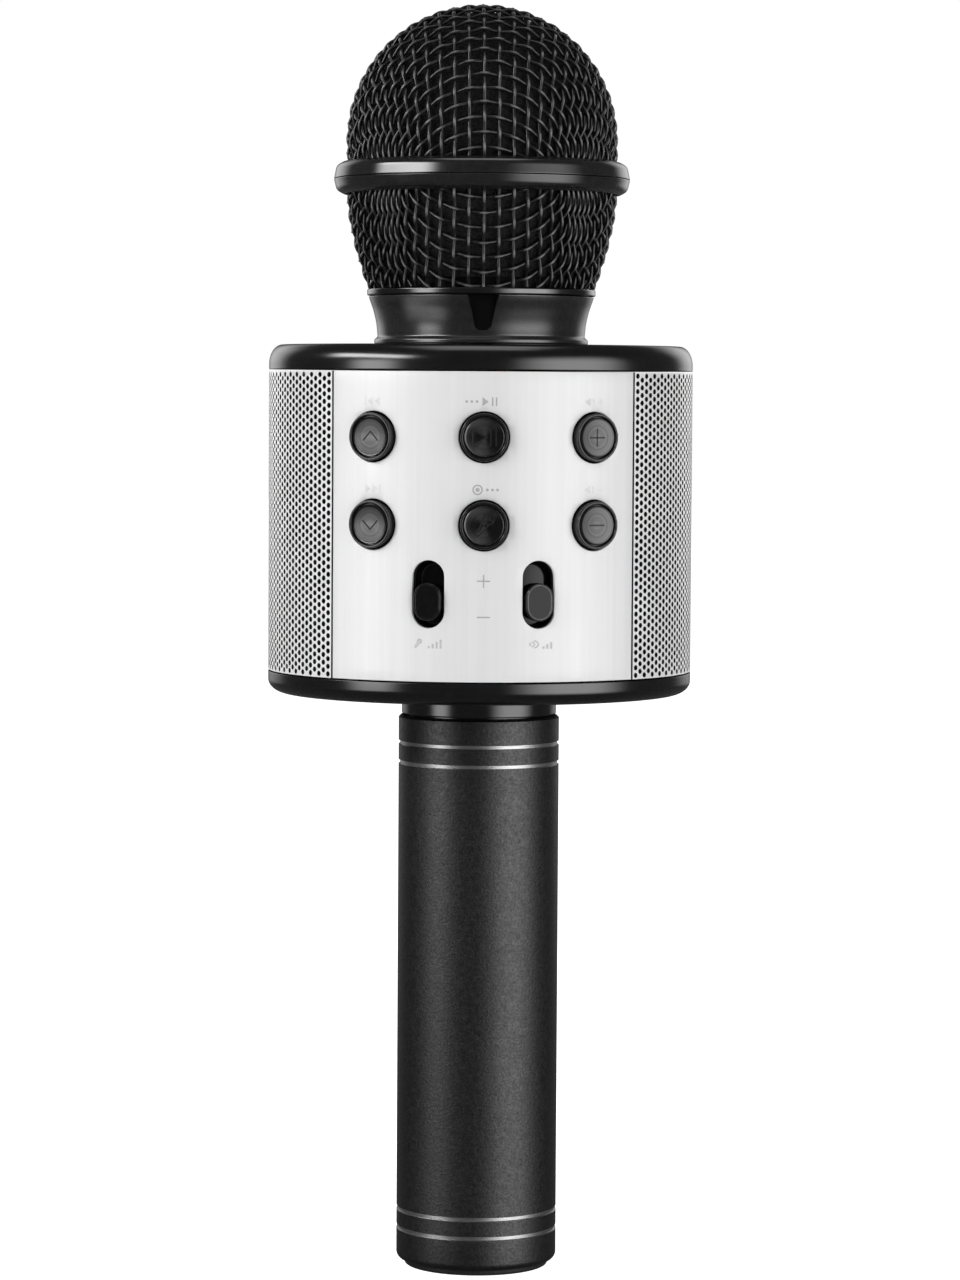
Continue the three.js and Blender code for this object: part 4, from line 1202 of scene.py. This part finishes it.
def add_power_knob():
    """The ribbed thumb piece of the power switch under the drum."""
    low, high = span("power_switch_knob")
    centre = (low + high) / 2
    width, depth = high.x - low.x, high.y - low.y
    base = rectangle(width, depth, 0.25)
    sections = [at_height(rectangle(width, depth, 0.5, inset=0.25), low.z),
                at_height(base, low.z + 0.25), at_height(base, high.z)]
    ribs = []
    for k in (-1, 0, 1):
        rib = rectangle(width + 1, 0.22, 0.1)
        ribs.append(loft([at_height(rib + (0, 0.62 * k), low.z - 1),
                          at_height(rib + (0, 0.62 * k), low.z + 0.3)]))
    points, faces = carved("power_knob", loft(sections), ribs)
    piece("power_switch_thumb", (points + (centre.x, centre.y, 0), faces), MATT,
          "power_switch_knob", ["power_switch_knob"])


# ---------------------------------------------------------------- head

def add_thread_ring():
    low, high = THREAD_RING
    lip, skirt, bore = high.x, 20.4, 19.3
    outline = rounded([
        (bore, low.z, 0.15), (lip, low.z, 0.3), (lip, BASKET_LOW_Z, 0.3), (skirt, BASKET_LOW_Z, 0.1),
        (skirt, high.z, 0.2), (bore, high.z, 0.2),
    ])

    # The skirt, deep inside the head, takes the painted shade black.
    def on_skirt(centre):
        return int(math.hypot(centre.x, centre.y) < 21.0)

    piece("grille_thread_ring_turned", lathe(outline, 144), [polished_lip(), SHADE_BLACK],
          "head_thread_ring", ["grille_thread_ring"], pick=on_skirt)


def add_band():
    """The gloss band round the ball's widest part: two halves that meet in a fine seam at its ridge."""
    gap = 0.05
    bore, edge, corner, ridge = 26.34, 26.75, 28.0, BAND[1].x
    finish = gloss_black("band_gloss", 0.009, 0.15)
    halves = (("lower", BAND[0].z, 1), ("upper", BAND[1].z, -1))
    for side, z, turn in halves:
        outline = rounded([
            (bore, BAND_SEAM - turn * gap, 0), (ridge, BAND_SEAM - turn * gap, 0.16),
            (corner + 0.1, z + turn * 0.75, 0.7), (edge, z, 0.3), (bore, z, 0),
        ], steps=6)
        piece(f"grille_band_{side}_moulded", lathe(outline, 160), finish,
              "head_grille", [f"grille_band_{side}"], crease=40)


def dome_profile():
    """The middle of the dome's wire cloth, from its pole down to the band: (radius, height) points."""
    radius = DOME_R - WIRE_R - WIRE_LIFT
    down = arc((0, DOME_Z), (radius, radius), 90, 0, 200)
    return np.array(down + [(radius, DOME_Z - 20 * k / 60) for k in range(1, 61)])


def basket_radius(z):
    rise = min(1.0, max(0.0, (z - BASKET_LOW_Z) / (BASKET_HIGH_Z - BASKET_LOW_Z)))
    return BASKET_HIGH_R - (BASKET_HIGH_R - BASKET_LOW_R) * (1 - rise) ** 1.6


def basket_profile():
    """The middle of the basket's wire cloth. It is drawn from one flat disc, whose middle is cut away."""
    wall = WIRE_R + WIRE_LIFT
    corner = 5.0
    foot = 188.0
    slope = basket_radius(190.2) - basket_radius(BASKET_LOW_Z)
    turn_in = basket_radius(BASKET_LOW_Z) - wall - slope * 10 * (BASKET_LOW_Z - foot) * 0.6 - corner
    flat = [(turn_in * k / 60, foot - corner) for k in range(60)]
    bend = arc((turn_in, foot), (corner, corner), -90, -8, 40)
    side = [(basket_radius(z) - wall, z) for z in np.linspace(BASKET_LOW_Z, 222.0, 160)]
    return np.array(flat + bend + side)


class Revolved:
    """A surface of revolution about Z, given by its profile."""

    def __init__(self, profile):
        self.profile = profile
        steps = np.linalg.norm(np.diff(profile, axis=0), axis=1)
        self.length = np.concatenate(([0], np.cumsum(steps)))

    def at(self, distance):
        """The profile's (radius, height) at a distance along it."""
        return np.array([np.interp(distance, self.length, self.profile[:, k]) for k in (0, 1)])

    def project(self, point):
        """The nearest point of the surface, and its outward normal."""
        radius = math.hypot(point[0], point[1])
        here = np.array((radius, point[2]))
        nearest = int(np.argmin(((self.profile - here) ** 2).sum(axis=1)))
        best = None
        for start in (max(0, nearest - 1), min(nearest, len(self.profile) - 2)):
            a, b = self.profile[start], self.profile[start + 1]
            share = np.clip(np.dot(here - a, b - a) / np.dot(b - a, b - a), 0, 1)
            foot = a + share * (b - a)
            gap = np.linalg.norm(here - foot)
            if best is None or gap < best[0]:
                best = (gap, foot, b - a)
        _, foot, along = best
        out = np.array((point[0], point[1])) / max(radius, 1e-9)
        across = np.array((abs(along[1]), -along[0] * np.sign(along[1] or 1)))
        across = across / np.linalg.norm(across)
        place = np.array((out[0] * foot[0], out[1] * foot[0], foot[1]))
        return place, np.array((out[0] * across[0], out[1] * across[0], across[1]))


def woven_net(surface, count, pitch):
    """A quarter of a cloth draped over the surface: every mesh is a rhombus with sides of one pitch, and
    two crossing wires run over the pole."""
    net = np.zeros((count, count, 3))
    for k in range(count):
        radius, z = surface.at(k * pitch)
        net[k, 0] = (radius, 0, z)
        net[0, k] = (0, radius, z)
    for i in range(1, count):
        for j in range(1, count):
            sides = (net[i - 1, j], net[i, j - 1])
            point = sides[0] + sides[1] - net[i - 1, j - 1]
            for _ in range(12):
                point, normal = surface.project(point)
                along = [point - side for side in sides]
                rows = np.array([2 * along[0], 2 * along[1], normal])
                short = np.array([pitch**2 - np.dot(a, a) for a in along] + [0.0])
                step = np.linalg.lstsq(rows, short, rcond=1e-3)[0]
                reach = np.linalg.norm(step)
                point = point + step * min(1.0, 0.8 / max(reach, 1e-9))
                if reach < 1e-5:
                    break
            net[i, j] = surface.project(point)[0]
    return net


def smooth_path(points):
    """A Catmull-Rom curve through the points, in four steps from each to the next."""
    padded = np.vstack((2 * points[0] - points[1], points, 2 * points[-1] - points[-2]))
    path = []
    for k in range(1, len(padded) - 2):
        a, b, c, d = padded[k - 1 : k + 3]
        for t in (0, 0.25, 0.5, 0.75):
            path.append(0.5 * (2 * b + (c - a) * t + (2 * a - 5 * b + 4 * c - d) * t**2
                               + (3 * b - a - 3 * c + d) * t**3))
    path.append(points[-1])
    return np.array(path)


def kept_runs(path, low, high):
    """The stretches of a path between two heights, ended exactly there."""
    runs, run = [], []
    inside = (path[:, 2] >= low) & (path[:, 2] <= high)
    for k, here in enumerate(path):
        crossing = None
        if k and inside[k] != inside[k - 1]:
            before = path[k - 1]
            limit = low if min(here[2], before[2]) < low else high
            share = (limit - before[2]) / (here[2] - before[2])
            crossing = before + share * (here - before)
        if inside[k]:
            if crossing is not None and np.linalg.norm(crossing - here) > 0.05:
                run.append(crossing)
            run.append(here)
        elif run:
            if np.linalg.norm(crossing - run[-1]) > 0.05:
                run.append(crossing)
            runs.append(run)
            run = []
    if run:
        runs.append(run)
    return [np.array(run) for run in runs if len(run) > 2]


def wire_cloth(profile, count, low, high):
    """Both sets of wires of a woven cloth on a surface of revolution, kept between two heights."""
    surface = Revolved(profile)
    quarter = woven_net(surface, count, WIRE_PITCH)
    numbers = range(1 - count, count)
    turn = np.linspace(0, 2 * np.pi, WIRE_SIDES, endpoint=False)
    wires, hump_height = [], []
    for crosswise in (False, True):
        for line in numbers:
            nodes = []
            for k in numbers:
                i, j = (k, line) if crosswise else (line, k)
                point = quarter[abs(i), abs(j)] * (1 if i >= 0 else -1, 1 if j >= 0 else -1, 1)
                over = 1 if (i + j) % 2 == 0 else -1
                place, normal = surface.project(point)
                nodes.append(place + normal * WIRE_LIFT * (over if crosswise else -over))
            for run in kept_runs(smooth_path(np.array(nodes)), low, high):
                feet, outward = np.array([surface.project(point) for point in run]).transpose(1, 0, 2)
                wires.append(wire(run, outward, WIRE_R))
                lift = ((run - feet) * outward).sum(axis=1)
                height = (lift[:, None] + WIRE_R * np.cos(turn)) / (WIRE_LIFT + WIRE_R)
                hump_height.append(np.clip(height, 0, 1).reshape(-1))
    return gather(wires), np.concatenate(hump_height)


def add_cloth_of_wire(name, profile, count, low, high, finish):
    part, hump_height = wire_cloth(profile, count, low, high)
    made = piece(f"grille_{name}_woven", part, finish, "head_grille", [f"grille_{name}"],
                 crease=60)
    # The hump height drives the painted highlight in the wire's colour.
    painted_glint_mask = made.data.attributes.new(HUMP_HEIGHT, "FLOAT", "POINT")
    painted_glint_mask.data.foreach_set("value", hump_height)


def add_wire_cloth():
    finish = black_wire()
    length = math.pi / 2 * DOME_R + DOME_Z - 211.4
    add_cloth_of_wire("dome", dome_profile(), int(length / WIRE_PITCH) + 2, 211.5, 300.0, finish)
    add_cloth_of_wire("basket", basket_profile(), 17, 190.15, 210.9, finish)


def add_foam():
    """The windscreen's foam shell, its surface uneven as cut foam is. Its thin hem hangs outside the
    thread ring's skirt."""
    radius, wall, start, turn = 24.7, 2.6, 195.2, 214.0
    inset, skirt, hem = 1.5, 20.6, 192.0
    inner = arc((0, DOME_Z), (radius - wall, radius - wall), 90, -8, 30)
    inner += [(basket_radius(z) - inset - wall, z) for z in np.linspace(turn, start, 12)]
    outer = [(skirt, start), (skirt, hem)]
    outer += [(basket_radius(z) - inset, z) for z in np.linspace(hem, turn, 40)]
    outer += arc((0, DOME_Z), (radius, radius), -8, 90, 64)
    inner[0], outer[-1] = (0, DOME_Z + radius - wall), (0, DOME_Z + radius)
    points, faces = lathe(inner + outer, 150)
    for k, point in enumerate(points):
        swell = noise.noise(Vector(point) * 0.9) + 0.6 * noise.noise(Vector(point) * 2.3)
        level = point - (0, 0, min(point[2], DOME_Z))
        points[k] = point + 0.14 * swell * level / np.linalg.norm(level)
    made = piece("foam_windscreen_cut", (points, faces), foam(),
                 "head_grille", ["foam_windscreen"])


# ---------------------------------------------------------------- carried-over nodes

def dress_inner_nodes():
    """Procedural finishes for the CAD nodes that stay as they are, nearly all of them inside."""
    board = circuit_board()
    cell = grained("battery_wrap", (0.03, 0.15, 0.38), 0.32, (60, 4.0, 0.9, 1.1),
                   relief=(120, 3.0, 0.05, 0.4, (1, 1, 4)))
    red = grained("cable_red", (0.36, 0.03, 0.02), 0.45, (300, 3.0, 0.85, 1.12),
                  relief=(700, 3.0, 0.02, 0.4))
    pulp = grained("cone_paper", (0.022, 0.02, 0.017), 0.9, (900, 5.0, 0.6, 1.5),
                   relief=(1400, 5.0, 0.08, 0.7))
    iron = grained("magnet", 0.03, 0.5, (300, 4.0, 0.75, 1.3), 0.3, (1500, 4.0, 0.04, 0.5))
    soft = grained("rubber", 0.014, 0.75, (500, 3.0, 0.85, 1.2), relief=(1600, 3.0, 0.03, 0.5))
    tact_switches = [f"tact_switch_{name}" for name in BUTTON_NAMES]
    dressed = [
        (board, ["control_board", "main_board"]),
        (cell, ["battery_cell"]),
        (red, ["battery_cable", "capsule_cable"]),
        (pulp, ["speaker_cone"]),
        (iron, ["speaker_magnet"]),
        (soft, ["speaker_surround", "capsule_cup"]),
        (CHIP, ["wireless_module", "amplifier_chip", "aux_jack", *tact_switches]),
        (INNER, ["battery_sleeve", "drum_skeleton", "button_frame", "speaker_baffle", "capsule_plate"]),
        (STEEL, ["mic_volume_fader", "echo_fader", "usb_socket", "charging_socket", "card_socket",
                 "power_switch_body", "speaker_frame", "mic_capsule"]),
    ]
    for finish, names in dressed:
        for name in names:
            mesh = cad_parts[name].data
            if mesh.materials:
                mesh.materials[0] = finish
            else:
                mesh.materials.append(finish)


# ---------------------------------------------------------------- studio

def add_camera():
    camera = bpy.data.objects.new("camera", bpy.data.cameras.new("camera"))
    bpy.context.scene.collection.objects.link(camera)
    camera.data.lens = 124.6
    camera.data.sensor_width = 36.0
    camera.data.clip_start = 0.05
    camera.location = Vector((-15.0, -859.9, 170.8)) * MM
    aim = Vector((0.13, 0.0, 122.1)) * MM
    look = (aim - camera.location).to_track_quat("-Z", "Y").to_matrix().to_4x4()
    roll = Matrix.Rotation(math.radians(0.336), 4, "Z")
    camera.matrix_world = Matrix.Translation(camera.location) @ look @ roll
    bpy.context.scene.camera = camera


def softbox(name, azimuth, elevation, size, radiance, soft):
    """A rectangular light that faces the drum. Its radiance fades out over a share of its half width at
    each edge, so that its reflections have soft borders."""
    distance, target = 1.3, Vector((0, 0, 0.15))
    light = bpy.data.lights.new(name, "AREA")
    light.shape = "RECTANGLE"
    light.size, light.size_y = size
    light.energy = radiance * math.pi * size[0] * size[1]
    light.use_nodes = True
    tree = light.node_tree
    links = tree.links
    place = add_node(tree, "ShaderNodeNewGeometry")
    centred = add_node(tree, "ShaderNodeVectorMath", operation="SUBTRACT")
    centred.inputs[1].default_value = (0.5, 0.5, 0)
    offset = add_node(tree, "ShaderNodeVectorMath", operation="ABSOLUTE")
    axes = add_node(tree, "ShaderNodeSeparateXYZ")
    links.new(place.outputs["Parametric"], centred.inputs[0])
    links.new(centred.outputs[0], offset.inputs[0])
    links.new(offset.outputs[0], axes.inputs[0])
    product = add_node(tree, "ShaderNodeMath", operation="MULTIPLY")
    for axis in (0, 1):
        fade = add_node(tree, "ShaderNodeMapRange", interpolation_type="SMOOTHSTEP")
        for socket, value in zip(fade.inputs[1:5], (0.5 - soft / 2, 0.5, 1.0, 0.0)):
            socket.default_value = value
        links.new(axes.outputs[axis], fade.inputs[0])
        links.new(fade.outputs[0], product.inputs[axis])
    links.new(product.outputs[0], tree.nodes["Emission"].inputs["Strength"])
    made = bpy.data.objects.new(name, light)
    bpy.context.scene.collection.objects.link(made)
    x, y = around(distance * math.cos(math.radians(elevation)), azimuth)
    made.location = target + Vector((x, y, distance * math.sin(math.radians(elevation))))
    made.rotation_euler = (made.location - target).to_track_quat("Z", "Y").to_euler()


def brighter_to_camera(tree, socket, seen, shed):
    """Gives a strength one value where the camera sees it and another for the light it sheds."""
    path = add_node(tree, "ShaderNodeLightPath")
    strength = add_node(tree, "ShaderNodeMapRange", To_Min=shed, To_Max=seen)
    tree.links.new(path.outputs["Is Camera Ray"], strength.inputs["Value"])
    tree.links.new(strength.outputs[0], socket)


def add_studio():
    scene = bpy.context.scene
    scene.view_settings.view_transform = "Standard"
    softbox("left_key", -67, 28, (1.4, 0.36), 9.5, 0.5)
    softbox("left_low", -60, 2, (0.9, 0.9), 4.0, 0.8)
    softbox("right_fill", 50, 0, (2.0, 1.8), 3.1, 0.8)
    softbox("overhead", 0, 84, (1.2, 1.2), 1.4, 0.6)
    softbox("back_left", -150, 12, (1.1, 1.2), 1.3, 0.8)
    softbox("back_right", 150, 12, (1.1, 1.2), 1.3, 0.8)

    floor_finish = Finish("floor_white", 0.9, 0.9, Specular_IOR_Level=0.0)
    floor_finish.colour(floor_finish.noise(8, detail=2.0), 0.99, 1.01)
    surface = floor_finish.surface.inputs
    surface["Emission Color"].default_value = (1, 1, 1, 1)
    brighter_to_camera(floor_finish.tree, surface["Emission Strength"], 1.1, 0.3)
    side = floor_finish.node("ShaderNodeNewGeometry")
    front = floor_finish.between(side.outputs["Backfacing"], 1.0, 0.0, (0.0, 1.0))
    floor_finish.link(front, surface["Alpha"])  # from below the floor is clear
    reach, sunk = 6000, 0.05
    points = [(x, y, -sunk) for x, y in ((-reach, -reach), (reach, -reach), (reach, reach), (-reach, reach))]
    mesh = bpy.data.meshes.new("floor")
    mesh.from_pydata((np.array(points) * MM).tolist(), [], [(0, 1, 2, 3)])
    mesh.materials.append(floor_finish.material)
    floor = bpy.data.objects.new("floor", mesh)
    scene.collection.objects.link(floor)
    floor.visible_glossy = False
    floor.visible_shadow = False

    world = bpy.data.worlds.new("studio")
    scene.world = world
    world.use_nodes = True
    background = world.node_tree.nodes["Background"].inputs
    background["Color"].default_value = (1, 1, 1, 1)
    brighter_to_camera(world.node_tree, background["Strength"], 1.0, 0.08)


# ---------------------------------------------------------------- the microphone

add_camera()
add_studio()
add_handle()
add_end_cap()
add_bottom_cover()
add_top_cover()
add_collar()
add_cover_screws()
add_control_panel()
add_speaker_grille()
add_acoustic_cloth()
add_buttons()
add_sliders()
add_panel_marks()
add_power_knob()
add_thread_ring()
add_band()
add_wire_cloth()
add_foam()
dress_inner_nodes()
